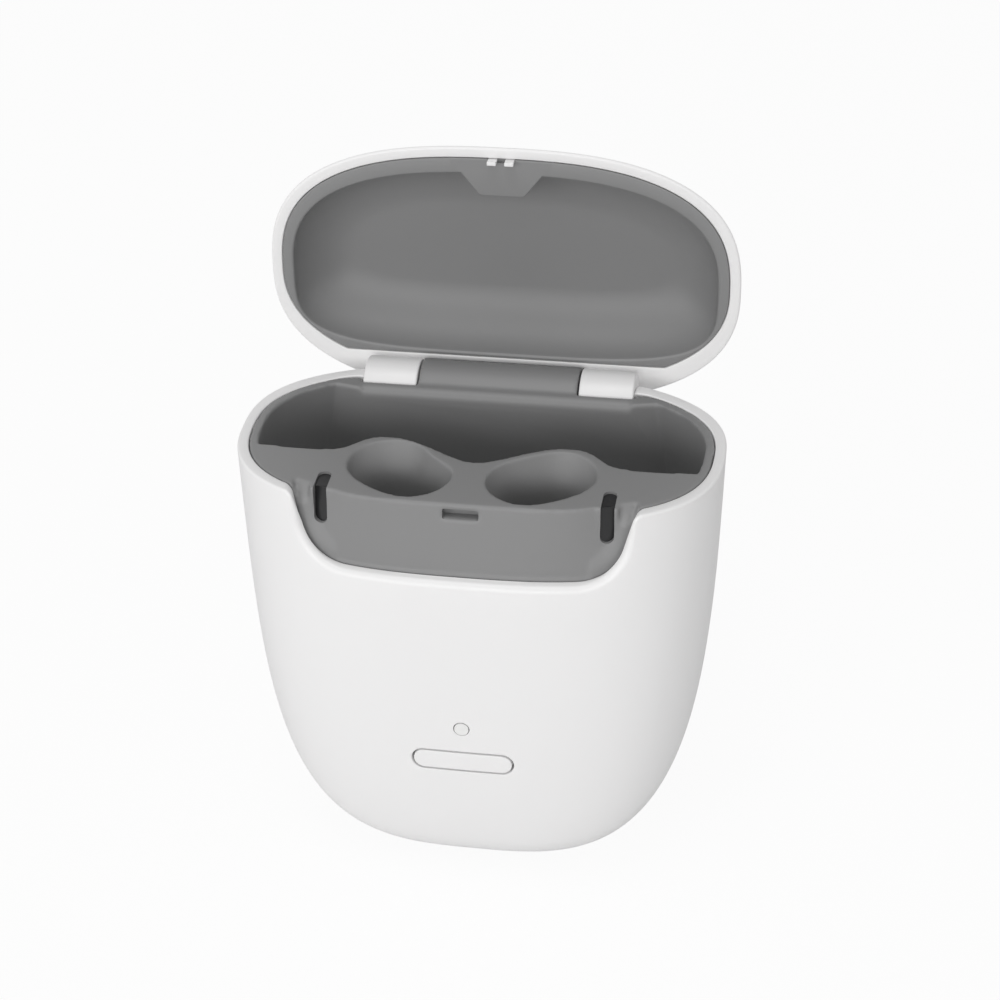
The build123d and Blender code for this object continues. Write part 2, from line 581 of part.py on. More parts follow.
# Main board on the spine, with its chips and the battery connector
main_board = block(-MAIN_BOARD_HALF, MAIN_BOARD_HALF, main_face, main_back, MAIN_BOARD_LOW, MAIN_BOARD_HIGH)
board_screws = []
for x, z in main_corners:
    main_board = main_board - rod_y(SCREW_RADIUS, main_face, main_back, x, z)
    board_screws.append(screw_y(x, z, main_face, main_bite))
main_middle = (MAIN_BOARD_LOW + MAIN_BOARD_HIGH) / 2
controller_chip = block(-CHIP / 2, CHIP / 2, main_face - CHIP_HEIGHT, main_face,
                        main_middle - CHIP / 2, main_middle + CHIP / 2)
charge_chip = block(-MAIN_BOARD_HALF + CHIP / 2, -MAIN_BOARD_HALF + CHIP, main_face - CHIP_HEIGHT, main_face,
                    main_middle - CHIP / 4, main_middle + CHIP / 4)
connector_x, connector_y, connector_z = CONNECTOR
battery_connector = block(MAIN_BOARD_HALF - CHIP / 2 - connector_x, MAIN_BOARD_HALF - CHIP / 2,
                          main_face - connector_y, main_face,
                          main_middle - connector_z / 2, main_middle + connector_z / 2)

# Socket board under the shelf with the charging socket that faces the back
socket_board = block(-SOCKET_BOARD_HALF, SOCKET_BOARD_HALF, SPINE_Y + POST_RADIUS + SWING_GAP,
                     SOCKET_MOUTH - WALL, socket_board_low, socket_board_top)
socket_screws = []
for x, y in socket_screw_places:
    socket_board = socket_board - rod_z(SCREW_RADIUS, 0, FAR, x, y)
    socket_screws.append(screw(x, y, socket_board_low, SHORT_BITE))
charging_socket = pill_y(SOCKET_WIDTH, SOCKET_HEIGHT, SOCKET_MOUTH - SOCKET_LENGTH, SOCKET_MOUTH, socket_z)
charging_socket = charging_socket - pill_y(SOCKET_WIDTH - 2 * SOCKET_SHELL, SOCKET_HEIGHT - 2 * SOCKET_SHELL,
                                           SOCKET_MOUTH - SOCKET_LENGTH + TONGUE, SOCKET_MOUTH, socket_z)
charging_socket = charging_socket + block(-SOCKET_WIDTH / 2 + 2 * TONGUE, SOCKET_WIDTH / 2 - 2 * TONGUE,
                                          SOCKET_MOUTH - SOCKET_LENGTH, SOCKET_MOUTH - TONGUE,
                                          socket_z - TONGUE / 2, socket_z + TONGUE / 2)

# Button board with the switch and the status light, and its screws
button_board = block(-BUTTON_BOARD_HALF, BUTTON_BOARD_HALF, BUTTON_BOARD_FACE, BUTTON_BOARD_FACE + BOARD,
                     BUTTON_BOARD_LOW, BUTTON_BOARD_HIGH)
button_board_screws = []
for x, z in board_corners:
    button_board = button_board - rod_y(SCREW_RADIUS, BUTTON_BOARD_FACE, BUTTON_BOARD_FACE + BOARD, x, z)
    button_board_screws.append(screw_y(x, z, BUTTON_BOARD_FACE, board_bite))
switch_front = BUTTON_BOARD_FACE - SWITCH_THICKNESS
flange_back = FLANGE_Y + FLANGE_THICKNESS
plunger_end = switch_front + PLUNGER_DIP
switch_body = block(-SWITCH_SIZE / 2, SWITCH_SIZE / 2, switch_front, BUTTON_BOARD_FACE,
                    BUTTON_Z - SWITCH_SIZE / 2, BUTTON_Z + SWITCH_SIZE / 2)
switch_body = switch_body - rod_y(PLUNGER_RADIUS + SLIP_GAP, switch_front,
                                  plunger_end + BUTTON_TRAVEL + TRAY_GAP, 0, BUTTON_Z)
switch_plunger = rod_y(PLUNGER_RADIUS, flange_back, plunger_end, 0, BUTTON_Z)
status_led = block(-LED_HALF, LED_HALF, BUTTON_BOARD_FACE - LED_HALF, BUTTON_BOARD_FACE,
                   LIGHT_Z - LED_HALF, LIGHT_Z + LED_HALF)

# Button cap with its retaining flange, and the round light lens above it
button_cap = pill_y(BUTTON_LENGTH, BUTTON_HEIGHT, -FAR, flange_back, BUTTON_Z) & shell_form
button_cap = button_cap + pill_y(BUTTON_LENGTH + 2 * BUTTON_FLANGE, BUTTON_HEIGHT + 2 * BUTTON_FLANGE,
                                 FLANGE_Y, flange_back, BUTTON_Z)
status_lens = rod_y(LIGHT_RADIUS - SLIP_GAP, -FAR, BUTTON_BOARD_FACE - LED_HALF - SLIP_GAP, 0, LIGHT_Z)
status_lens = status_lens & shell_form
status_lens = status_lens + rod_y(LIGHT_RADIUS + LENS_FLANGE, FLANGE_Y - SWING_GAP, flange_back, 0, LIGHT_Z)

# Hinge pin in two bushes
hinge_pin = rod_x(PIN_RADIUS, -KNUCKLE_END + SWING_GAP, KNUCKLE_END - SWING_GAP, HINGE_Y, HINGE_Z)
bushes = {}
for name, side in (("left", -1), ("right", 1)):
    start, end = sorted((side * (BLOCK_HALF - BUSH_LENGTH), side * BLOCK_HALF))
    bushes[name] = rod_x(BUSH_RADIUS, start, end, HINGE_Y, HINGE_Z) - rod_x(
        PIN_RADIUS + RUNNING_GAP, start, end, HINGE_Y, HINGE_Z)


# Lid, made closed and then turned open about the hinge pin
def lid_oval(share, height, inset, rear_inset, rear_power):
    side = round_off(share, LID_ROUNDING)
    half = (WIDTH / 2 - LID_SIDE_TAPER * share) * side - inset
    front = (FRONT_DEPTH - LID_DEPTH_TAPER * share) * side - inset
    rear = (REAR_DEPTH - LID_DEPTH_TAPER * share) * side - rear_inset
    return oval(half, front, rear, FRONT_POWER, rear_power, lid_z + share * height)


def lid_hollow(gap):
    """The hollow inside the lid shell, or the liner's outer form with a gap."""
    height = LID_HEIGHT - LID_WALL - gap
    inset = LID_WALL + gap
    wires = [lid_oval(share, height, inset, HINGE_WALL + gap - (HINGE_WALL - LID_WALL) * share,
                      TRAY_REAR_POWER) for share in LID_STEPS]
    return Solid.make_loft(wires) & block(-FAR, FAR, -FAR, CHORD_Y - gap, 0, FAR * 2)


def dish_oval(share, z):
    narrow = DISH_NARROWING * (1 - round_off(share, DISH_ROUNDING))
    return oval(WIDTH / 2 - LID_WALL - RING_SIDE - narrow, FRONT_DEPTH - LID_WALL - RING_FRONT - narrow,
                DISH_REAR - narrow, FRONT_POWER, DISH_REAR_POWER, z)


lid_z = RIM_HEIGHT + PARTING_GAP
dome = Solid.make_loft([lid_oval(share, LID_HEIGHT, 0, 0, REAR_POWER) for share in LID_STEPS])
lid_shell = dome - lid_hollow(0)
knuckle_start = BLOCK_HALF + SWING_GAP
lid_shell = lid_shell - rod_x(NOTCH_RADIUS, -knuckle_start, knuckle_start, HINGE_Y, HINGE_Z)
for side in (-1, 1):
    start, end = sorted((side * knuckle_start, side * KNUCKLE_END))
    knuckle = rod_x(KNUCKLE_RADIUS, start, end, HINGE_Y, HINGE_Z)
    lid_shell = lid_shell + (knuckle & block(-FAR, FAR, -FAR, KNUCKLE_BACK, 0, FAR * 2))
lid_shell = lid_shell - hinge_pin
dish = Solid.make_loft([dish_oval(share, lid_z + share * DISH_DEPTH) for share in DISH_STEPS])
liner_form = lid_hollow(TRAY_GAP)
tab_line = FilletPolyline((-TAB_ROOT_HALF, -FRONT_DEPTH + LID_WALL), (-TAB_TIP_HALF, TAB_TIP_Y),
                          (TAB_TIP_HALF, TAB_TIP_Y), (TAB_ROOT_HALF, -FRONT_DEPTH + LID_WALL),
                          radius=TAB_CORNER)
tab_face = make_face([*tab_line.edges(), Line(tab_line @ 1, tab_line @ 0)])
tab = Pos(0, 0, lid_z) * extrude(tab_face, amount=TAB_THICKNESS)
magnet_low = lid_z + MAGNET_SKIN
lid_magnet = rod_z(MAGNET_RADIUS, magnet_low, magnet_low + MAGNET_THICKNESS, 0, MAGNET_Y)
liner_front = -FRONT_DEPTH + LID_WALL + TRAY_GAP
prong_out = PRONG_GAP / 2 + PRONG_WIDTH
prong_front = liner_front + PRONG_INSET
prong_back = prong_front + PRONG_THICKNESS
prong_low = lid_z - PRONG_DROP
latch_hook = block(-prong_out, prong_out, liner_front + LATCH_BASE_INSET,
                   liner_front + LATCH_BASE_INSET + LATCH_BASE_DEPTH, lid_z, lid_z + LATCH_BASE_HEIGHT)
lid_liner = liner_form - dish + (tab & liner_form)
lid_liner = lid_liner - lid_magnet - latch_hook
for side in (-1, 1):
    start, end = sorted((side * PRONG_GAP / 2, side * prong_out))
    latch_hook = latch_hook + block(start, end, prong_front, prong_back, prong_low, lid_z)
    latch_hook = latch_hook + block(start, end, prong_front, prong_back + NOSE_OUT, prong_low,
                                    prong_low + NOSE_HEIGHT)
hinge_axis = Axis((0, HINGE_Y, HINGE_Z), (1, 0, 0))
lid_parts = {"lid_shell": lid_shell, "lid_liner": lid_liner, "latch_hook": latch_hook,
             "lid_magnet": lid_magnet}
opened_lid = {name: solid.rotate(hinge_axis, -OPEN_ANGLE) for name, solid in lid_parts.items()}

parts = {
    "outer_shell": outer_shell,
    "foot_pad": foot_pad,
    "base_screws": base_screws,
    "inner_tray": tray,
    "indicator_window_left": windows["left"],
    "indicator_window_right": windows["right"],
    "indicator_leds": indicator_leds,
    "contact_board": contact_board,
    "contact_screw": contact_screw,
    "charging_pins_left": pins["left"],
    "charging_pins_right": pins["right"],
    "lid_sensor": lid_sensor,
    "chassis": chassis,
    "chassis_screws": chassis_screws,
    "battery": battery,
    "battery_tape": battery_tape,
    "main_board": main_board,
    "main_board_screws": board_screws,
    "controller_chip": controller_chip,
    "charge_chip": charge_chip,
    "battery_connector": battery_connector,
    "socket_board": socket_board,
    "socket_board_screws": socket_screws,
    "charging_socket": charging_socket,
    "button_board": button_board,
    "button_board_screws": button_board_screws,
    "switch_body": switch_body,
    "switch_plunger": switch_plunger,
    "status_led": status_led,
    "button_cap": button_cap,
    "status_lens": status_lens,
    "hinge_pin": hinge_pin,
    "hinge_bush_left": bushes["left"],
    "hinge_bush_right": bushes["right"],
    **opened_lid,
}
os.makedirs("parts", exist_ok=True)
for name, piece in parts.items():
    solids = piece if isinstance(piece, list) else [piece]
    found = [solid for item in solids for solid in item.solids()]
    shape = found[0] if len(found) == 1 else Compound(children=found)
    export_step(shape, f"parts/{name}.step")
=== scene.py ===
from math import radians

import bpy
import numpy as np
from mathutils import Matrix, Vector


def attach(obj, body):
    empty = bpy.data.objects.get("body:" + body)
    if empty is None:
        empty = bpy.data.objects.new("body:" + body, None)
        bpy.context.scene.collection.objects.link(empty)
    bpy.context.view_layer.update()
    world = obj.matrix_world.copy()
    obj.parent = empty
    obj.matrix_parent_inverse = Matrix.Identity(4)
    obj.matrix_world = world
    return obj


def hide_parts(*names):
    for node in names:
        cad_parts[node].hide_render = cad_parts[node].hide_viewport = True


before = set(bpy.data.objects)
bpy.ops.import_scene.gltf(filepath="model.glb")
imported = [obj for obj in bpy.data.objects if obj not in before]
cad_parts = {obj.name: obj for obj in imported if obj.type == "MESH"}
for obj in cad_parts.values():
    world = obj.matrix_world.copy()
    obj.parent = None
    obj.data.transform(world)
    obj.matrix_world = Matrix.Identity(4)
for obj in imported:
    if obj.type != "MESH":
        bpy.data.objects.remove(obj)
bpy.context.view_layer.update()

# Camera and studio
# The camera stands in front of the case, a little to its right, and looks down into the open
# lid. A pale floor, a pale sky and four broad lamps light it plainly.
MM = 0.001
RIM = 75.5
CAMERA_PLACE = (58.05, -313.53, RIM + 197.75)
CAMERA_TURN = 9.995
CAMERA_TILT = 33.401
CAMERA_ROLL = -1.441
LAMP_SIZE = 0.55
LAMP_TARGET = (0.0, 0.0, 0.06)
SKY_STRENGTH = 0.46
FLOOR_SIZE = 6.0
FLOOR_IN_VIEW = 0.93
WHITE = (1.0, 1.0, 1.0, 1.0)
scene = bpy.context.scene
scene.view_settings.view_transform = "Standard"
camera_data = bpy.data.cameras.new("camera")
camera_data.sensor_width = 36.0
camera_data.lens = 82.44
camera_data.clip_start = 0.01
camera = bpy.data.objects.new("camera", camera_data)
camera.matrix_world = (Matrix.Translation(Vector(CAMERA_PLACE) * MM)
                       @ Matrix.Rotation(radians(CAMERA_TURN), 4, "Z")
                       @ Matrix.Rotation(radians(90.0 - CAMERA_TILT), 4, "X")
                       @ Matrix.Rotation(radians(CAMERA_ROLL), 4, "Z"))
scene.collection.objects.link(camera)
scene.camera = camera


class Value:
    """What a node gives out, so that shader maths reads as plain sums and products."""

    def __init__(self, tree, socket):
        self.tree = tree
        self.socket = socket

    def __add__(self, other):
        return add_node(self.tree, "ShaderNodeMath", 0, {"operation": "ADD"}, {0: self, 1: other})

    def __mul__(self, other):
        return add_node(self.tree, "ShaderNodeMath", 0, {"operation": "MULTIPLY"}, {0: self, 1: other})

    __radd__ = __add__
    __rmul__ = __mul__


def set_sockets(tree, node, values):
    """Give a node's sockets, by name or number, their values or links."""
    for name, value in values.items():
        if isinstance(value, Value):
            tree.links.new(value.socket, node.inputs[name])
        else:
            node.inputs[name].default_value = value


def add_node(tree, kind, output, settings, values):
    """Add a node with its settings and the values or links of its sockets."""
    node = tree.nodes.new(kind)
    for name, setting in settings.items():
        setattr(node, name, setting)
    set_sockets(tree, node, values)
    return Value(tree, node.outputs[output])


class Finish:
    """A material with one Principled shader and the nodes that feed it."""

    def __init__(self, name, color, roughness, metallic=0.0):
        self.material = bpy.data.materials.new(name)
        self.material.use_nodes = True
        self.tree = self.material.node_tree
        self.shader = self.tree.nodes["Principled BSDF"]
        self.feed("Base Color", (*color, 1.0))
        self.feed("Roughness", roughness)
        self.feed("Metallic", metallic)

    def feed(self, name, value):
        set_sockets(self.tree, self.shader, {name: value})

    def node(self, kind, output, settings, values):
        return add_node(self.tree, kind, output, settings, values)

    def place(self):
        return self.node("ShaderNodeTexCoord", "Object", {}, {})

    def noise(self, scale, detail=2.0):
        return self.node("ShaderNodeTexNoise", "Fac", {},
                         {"Vector": self.place(), "Scale": scale, "Detail": detail})

    def grain(self, height, strength, depth):
        self.feed("Normal", self.node("ShaderNodeBump", "Normal", {},
                                      {"Height": height, "Strength": strength, "Distance": depth}))

    def shade(self, factor, dark, light):
        self.feed("Base Color", self.node("ShaderNodeMix", 2, {"data_type": "RGBA"},
                                          {0: factor, 6: (*dark, 1.0), 7: (*light, 1.0)}))


def dress(name, finish):
    """Give a CAD node its finish."""
    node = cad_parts[name]
    node.data.materials.clear()
    node.data.materials.append(finish.material)


def ray(tree, kind):
    return add_node(tree, "ShaderNodeLightPath", kind, {}, {})


def either(tree, one, other):
    return add_node(tree, "ShaderNodeMath", 0, {"operation": "MAXIMUM"}, {0: one, 1: other})


world = bpy.data.worlds.new("studio")
world.use_nodes = True
scene.world = world
sky = world.node_tree
seen = either(sky, ray(sky, "Is Camera Ray"), ray(sky, "Is Glossy Ray"))
seen = either(sky, seen, ray(sky, "Is Transmission Ray"))
sky_light = add_node(sky, "ShaderNodeBackground", 0, {}, {"Color": WHITE, "Strength": SKY_STRENGTH})
white_sky = add_node(sky, "ShaderNodeBackground", 0, {}, {"Color": WHITE, "Strength": 1.0})
whole_sky = add_node(sky, "ShaderNodeMixShader", 0, {}, {0: seen, 1: sky_light, 2: white_sky})
set_sockets(sky, sky.nodes["World Output"], {"Surface": whole_sky})


def lamp(name, place, power):
    """Broad round lamp that faces the case."""
    data = bpy.data.lights.new(name, "AREA")
    data.shape = "DISK"
    data.size = LAMP_SIZE
    data.energy = power
    lamp_object = bpy.data.objects.new(name, data)
    look = (Vector(LAMP_TARGET) - Vector(place)).to_track_quat("-Z", "Y")
    lamp_object.matrix_world = Matrix.Translation(Vector(place)) @ look.to_matrix().to_4x4()
    scene.collection.objects.link(lamp_object)


lamp("front", (0.0, -1.11, 0.36), 3.1)
lamp("left_front", (-0.64, -0.91, 0.36), 2.4)
lamp("right_side", (1.09, -0.19, 0.36), 0.4)
lamp("top", (-0.08, -0.22, 1.19), 3.0)

bpy.ops.object.select_all(action="DESELECT")
bpy.ops.mesh.primitive_plane_add(size=FLOOR_SIZE, location=(0.0, 0.0, 0.0))
floor = bpy.context.object
floor.name = "floor"
floor_white = Finish("floor_white", (0.85, 0.85, 0.85), 0.9)
floor_lit = Value(floor_white.tree, floor_white.shader.outputs[0])
floor_glow = floor_white.node("ShaderNodeEmission", 0, {}, {})
floor_share = ray(floor_white.tree, "Is Camera Ray") * FLOOR_IN_VIEW
floor_mix = floor_white.node("ShaderNodeMixShader", 0, {}, {0: floor_share, 1: floor_lit, 2: floor_glow})
set_sockets(floor_white.tree, floor_white.tree.nodes["Material Output"], {"Surface": floor_mix})
floor.data.materials.append(floor_white.material)

# Outer shell
# The white cup is one thick-walled plastic moulding. Its front edge dips into a hollow for the
# thumb, its back edge into a notch for the hinge, and all its edges are rounded.
white = Finish("white_plastic", (0.83, 0.825, 0.825), 0.38)
white.grain(white.noise(2600.0, 3.0), 0.05, 0.0001)
HALF_WIDTH = 40.0
FRONT_DEPTH = 24.0
REAR_DEPTH = 22.6
FRONT_POWER = 2.65
REAR_POWER = 2.45
LOW_POWER = 3.1
TAPER = 2.5
BULGE = 5.0
SIDE_ROUNDING = 3.8
DEPTH_ROUNDING = 4.2
SHELL_LOW = 0.6
APEX = RIM - SHELL_LOW + 1.2
FLOOR_TOP = SHELL_LOW + 2.0
WALL = 1.8
HINGE_WALL = 3.3
LEAST_REAR_WALL = 1.6
REAR_EASE = 1.3
EASE_FROM = 23.0
EASE_LENGTH = 4.0
INNER_REAR_POWER = 2.33
ROUND = 2 * np.pi


def round_off(share, power):
    return np.maximum(1.0 - np.maximum(share, 0.0) ** power, 0.0) ** (1.0 / power)


def egg(angle, half, front, rear, front_power, rear_power):
    """X and Y of an egg outline at an angle round it."""
    c, s = np.cos(angle), np.sin(angle)
    power = np.where(s >= 0, rear_power, front_power)
    depth = np.where(s >= 0, rear, front)
    return (half * np.sign(c) * np.abs(c) ** (2 / power),
            depth * np.sign(s) * np.abs(s) ** (2 / power))


def outline(depth, wall=0.0, rear_wall=0.0, rear_power=REAR_POWER):
    """Half width, front and rear depths and powers of the case at a depth below the rim."""
    share = np.maximum(depth, 0.0) / APEX
    side = round_off(share, SIDE_ROUNDING)
    deep = round_off(share, DEPTH_ROUNDING)
    return ((HALF_WIDTH - TAPER * share) * side - wall,
            (FRONT_DEPTH + BULGE * share) * deep - wall,
            (REAR_DEPTH + BULGE * share) * deep - rear_wall,
            FRONT_POWER + (LOW_POWER - FRONT_POWER) * share,
            rear_power + (LOW_POWER - rear_power) * share)


fine = np.linspace(0.0, ROUND, 20001)
fine_x, fine_y = egg(fine, *outline(0.0))
walked = np.concatenate([[0.0], np.cumsum(np.hypot(np.diff(fine_x), np.diff(fine_y)))])
walked /= walked[-1]


def case_at(turn, depth, wall=0.0, rear_wall=0.0, rear_power=REAR_POWER):
    """Surface of the case at a share of the way round and a depth below the rim."""
    angle = np.interp(turn % 1.0, walked, fine)
    x, y = egg(angle, *outline(depth, wall, rear_wall, rear_power))
    return np.stack([x, y, RIM - depth + 0 * x], axis=-1)


def beside_hinge(x):
    """Share of the way from the hinge's end to where the back wall is thin."""
    return np.clip((np.abs(x) - EASE_FROM) / EASE_LENGTH, 0.0, 1.0)


def inside_at(turn, depth):
    """Inner surface of the case, whose back wall is thick behind the hinge alone."""
    thinning = (HINGE_WALL - WALL) * depth / (RIM - SHELL_LOW)
    rear_wall = HINGE_WALL - thinning - REAR_EASE * beside_hinge(case_at(turn, depth)[..., 0])
    return case_at(turn, depth, WALL, np.maximum(rear_wall, LEAST_REAR_WALL), INNER_REAR_POWER)


def turn_at(x, depth, wall, front):
    """Share of the way round at which the case is x from its middle, at the front or back."""
    half, _, _, front_power, rear_power = outline(depth, wall)
    power = front_power if front else rear_power
    angle = np.arccos(np.sign(x) * np.minimum(np.abs(x) / half, 1.0) ** (power / 2))
    return np.interp(ROUND - angle if front else angle, fine, walked)


def front_at(x, depth, wall=0.0):
    """Y of the case's front at x from its middle and a depth below the rim."""
    half, front, _, power, _ = outline(depth, wall)
    return -front * (1 - np.minimum(np.abs(x) / half, 1) ** power) ** (1 / power)


def rounded(half_line, spacing):
    """Points along a line that mirrors its first half's corners, given as (x, depth, radius)."""
    corners = half_line + [(-x, depth, radius) for x, depth, radius in half_line[::-1]]
    spots = [np.array(corner[:2], float) for corner in corners]
    path = [spots[0]]
    for before, here, after, corner in zip(spots, spots[1:], spots[2:], corners[1:]):
        one, two = before - here, after - here
        one, two = one / np.linalg.norm(one), two / np.linalg.norm(two)
        half_angle = np.arccos(one @ two) / 2
        reach = corner[2] / np.tan(half_angle)
        centre = here + (one + two) / np.linalg.norm(one + two) * corner[2] / np.sin(half_angle)
        start, end = here + one * reach - centre, here + two * reach - centre
        sweep = np.pi - 2 * half_angle
        for share in np.linspace(0, 1, 8 + int(corner[2])):
            path.append(centre + (np.sin((1 - share) * sweep) * start
                                  + np.sin(share * sweep) * end) / np.sin(sweep))
    path.append(spots[-1])
    full = [path[0]]
    for spot in path[1:]:
        start = full[-1]
        steps = int(np.linalg.norm(spot - start) / spacing) + 1
        full += [start + (spot - start) * k / steps for k in range(1, steps + 1)]
    return np.array(full)


def quarter(radius, steps):
    """Steps round a quarter circle, as how far along the face and how far below it they are."""
    return [(radius * (1 - np.cos(phase)), radius * (1 - np.sin(phase)))
            for phase in np.linspace(0, np.pi / 2, steps)]


def pick(piece):
    bpy.ops.object.select_all(action="DESELECT")
    bpy.context.view_layer.objects.active = piece
    piece.select_set(True)


def edit(piece, operator, **settings):
    """Use a mesh operator on all of a piece."""
    pick(piece)
    bpy.ops.object.mode_set(mode="EDIT")
    bpy.ops.mesh.select_all(action="SELECT")
    operator(**settings)
    bpy.ops.object.mode_set(mode="OBJECT")


def shape(piece, kind, **settings):
    """Put a modifier on a piece and apply it."""
    pick(piece)
    step = piece.modifiers.new(kind.lower(), kind)
    for name, value in settings.items():
        setattr(step, name, value)
    bpy.ops.object.modifier_apply(modifier=step.name)


def soften(piece, width):
    """Round the sharp edges of a piece."""
    if width:
        shape(piece, "BEVEL", angle_limit=radians(50), width=width * MM, segments=4)


def solid(name, points, faces):
    """Closed mesh from points in millimetres, with its faces turned outwards."""
    mesh = bpy.data.meshes.new(name)
    mesh.from_pydata((np.asarray(points, float) * MM).tolist(), [], faces)
    piece = bpy.data.objects.new(name, mesh)
    scene.collection.objects.link(piece)
    edit(piece, bpy.ops.mesh.normals_make_consistent, inside=False)
    return piece


def bands(rings):
    """Faces between each ring of point numbers and the next."""
    after = np.roll(rings, -1, axis=1)
    return np.stack([rings[:-1], after[:-1], after[1:], rings[1:]], axis=-1).reshape(-1, 4).tolist()


def skin(name, rows, first, last):
    """Closed mesh through rings of points, which ends on two middle points."""
    rings = np.arange(len(rows) * len(rows[0])).reshape(len(rows), -1)
    faces = bands(rings)
    for ring, middle in ((rings[0], rings.size), (rings[-1], rings.size + 1)):
        faces += [(here, there, middle) for here, there in zip(ring.tolist(), np.roll(ring, -1).tolist())]
    return solid(name, np.concatenate([*rows, [first], [last]]), faces)


def carve(piece, tool, kind="DIFFERENCE"):
    """Cut a shape out of a piece, or join it on, and drop the shape."""
    shape(piece, "BOOLEAN", operation=kind, solver="EXACT", object=tool)
    bpy.data.objects.remove(tool)


def bar(low, high, axis, radius, soft=0.0):
    """Bar between two corners, with its edges along an axis rounded, and the rest softened."""
    low, high = Vector(low) * MM, Vector(high) * MM
    bpy.ops.object.select_all(action="DESELECT")
    bpy.ops.mesh.primitive_cube_add(size=1.0, location=(low + high) / 2, scale=high - low)
    piece = bpy.context.object
    bpy.ops.object.transform_apply(location=True, rotation=True, scale=True)
    if radius:
        weights = piece.data.attributes.new("bevel_weight_edge", "FLOAT", "EDGE")
        for edge in piece.data.edges:
            a, b = (piece.data.vertices[k].co for k in edge.vertices)
            lies_along = abs(abs((b - a).normalized()[axis]) - 1) < 0.01
            weights.data[edge.index].value = 1.0 if lies_along else 0.0
        shape(piece, "BEVEL", limit_method="WEIGHT", width=radius * MM, segments=14)
    soften(piece, soft)
    return piece


def settle(piece, name, finish, body, node, sharp=40.0):
    """Give a finished piece its name, shading, material and body, and hide the CAD node it replaces."""
    piece.name = name
    pick(piece)
    bpy.ops.object.shade_smooth_by_angle(angle=radians(sharp))
    piece.data.materials.clear()
    piece.data.materials.append(finish.material)
    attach(piece, body)
    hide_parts(node)


SCOOP_DEPTH = 12.0
SCOOP_TOP = 27.6
SCOOP_BOTTOM = 25.0
SCOOP_CORNER = 8.0
SCOOP_LIP = 1.5
SCOOP_START = 34.0
SCOOP_SPACING = 0.9
HINGE_Y = 19.65
HINGE_DROP = 3.6
KNUCKLE_RADIUS = 5.4
KNUCKLE_END = 23.2
SWING_GAP = 0.3
NOTCH_HALF = KNUCKLE_END + SWING_GAP
NOTCH_DEPTH = HINGE_DROP + KNUCKLE_RADIUS + SWING_GAP
NOTCH_CORNER = 0.7
NOTCH_START = 30.0
NOTCH_SPACING = 1.2
CUT_BLEND = 6.0
RIM_POINTS = 46
scoop = rounded([(-SCOOP_START, 0, 0), (-SCOOP_TOP, 0, SCOOP_LIP),
                 (-SCOOP_BOTTOM, SCOOP_DEPTH, SCOOP_CORNER)], SCOOP_SPACING)
notch = rounded([(NOTCH_START, 0, 0), (NOTCH_HALF, 0, NOTCH_CORNER),
                 (NOTCH_HALF, NOTCH_DEPTH, NOTCH_CORNER)], NOTCH_SPACING)
scoop_turn = turn_at(*scoop.T, 0.0, True)
notch_turn = turn_at(*notch.T, 0.0, False)
right_turn = np.linspace(scoop_turn[-1], 1.0 + notch_turn[0], RIM_POINTS)[1:-1]
left_turn = np.linspace(notch_turn[-1], scoop_turn[0], RIM_POINTS)[1:-1]
scoop_end = len(scoop)
notch_start = scoop_end + len(right_turn)
notch_end = notch_start + len(notch)


def along_edge(at_scoop, at_notch):
    """Values along the whole edge of the shell, zero where the rim is plain."""
    return np.concatenate([at_scoop, 0 * right_turn, at_notch, 0 * left_turn])


def first_past(line, depth):
    """Number of the first point of a line that is past a depth."""
    return int(np.argmax(line[:, 1] > depth))


edge_turn = np.concatenate([scoop_turn, right_turn, 1.0 + notch_turn, 1.0 + left_turn])
edge_depth = along_edge(scoop[:, 1], notch[:, 1])
same_x = along_edge(turn_at(*scoop.T, WALL, True) - scoop_turn,
                    turn_at(*notch.T, WALL, False) - notch_turn)
near_cut = along_edge(np.clip((SCOOP_START - np.abs(scoop[:, 0])) / CUT_BLEND, 0, 1),
                      np.clip((NOTCH_START - np.abs(notch[:, 0])) / CUT_BLEND, 0, 1))
inner_turn = edge_turn + same_x * near_cut

# The rows of points fan out below the two cuts, so that they run evenly down the case.
SCOOP_FAN = 0.03
NOTCH_FAN = 0.022
SIDE_FAN = 0.028
SCOOP_SIDE_FROM = 0.8
NOTCH_SIDE_FROM = 0.4
ABOVE_FOOT = 0.1
scoop_side, scoop_foot = first_past(scoop, SCOOP_SIDE_FROM), first_past(scoop, SCOOP_DEPTH - ABOVE_FOOT)
notch_side, notch_foot = first_past(notch, NOTCH_SIDE_FROM), first_past(notch, NOTCH_DEPTH - ABOVE_FOOT)
fan_marks = [0, scoop_side, scoop_foot, scoop_end - scoop_foot, scoop_end - scoop_side,
             notch_start + notch_side, notch_start + notch_foot,
             notch_end - notch_foot, notch_end - notch_side, len(edge_turn)]
fan_turns = [-SIDE_FAN, -SCOOP_FAN, 0, 0, SCOOP_FAN, -NOTCH_FAN, 0, 0, NOTCH_FAN, -SIDE_FAN]
fan = np.interp(np.arange(len(edge_turn)), fan_marks, fan_turns)

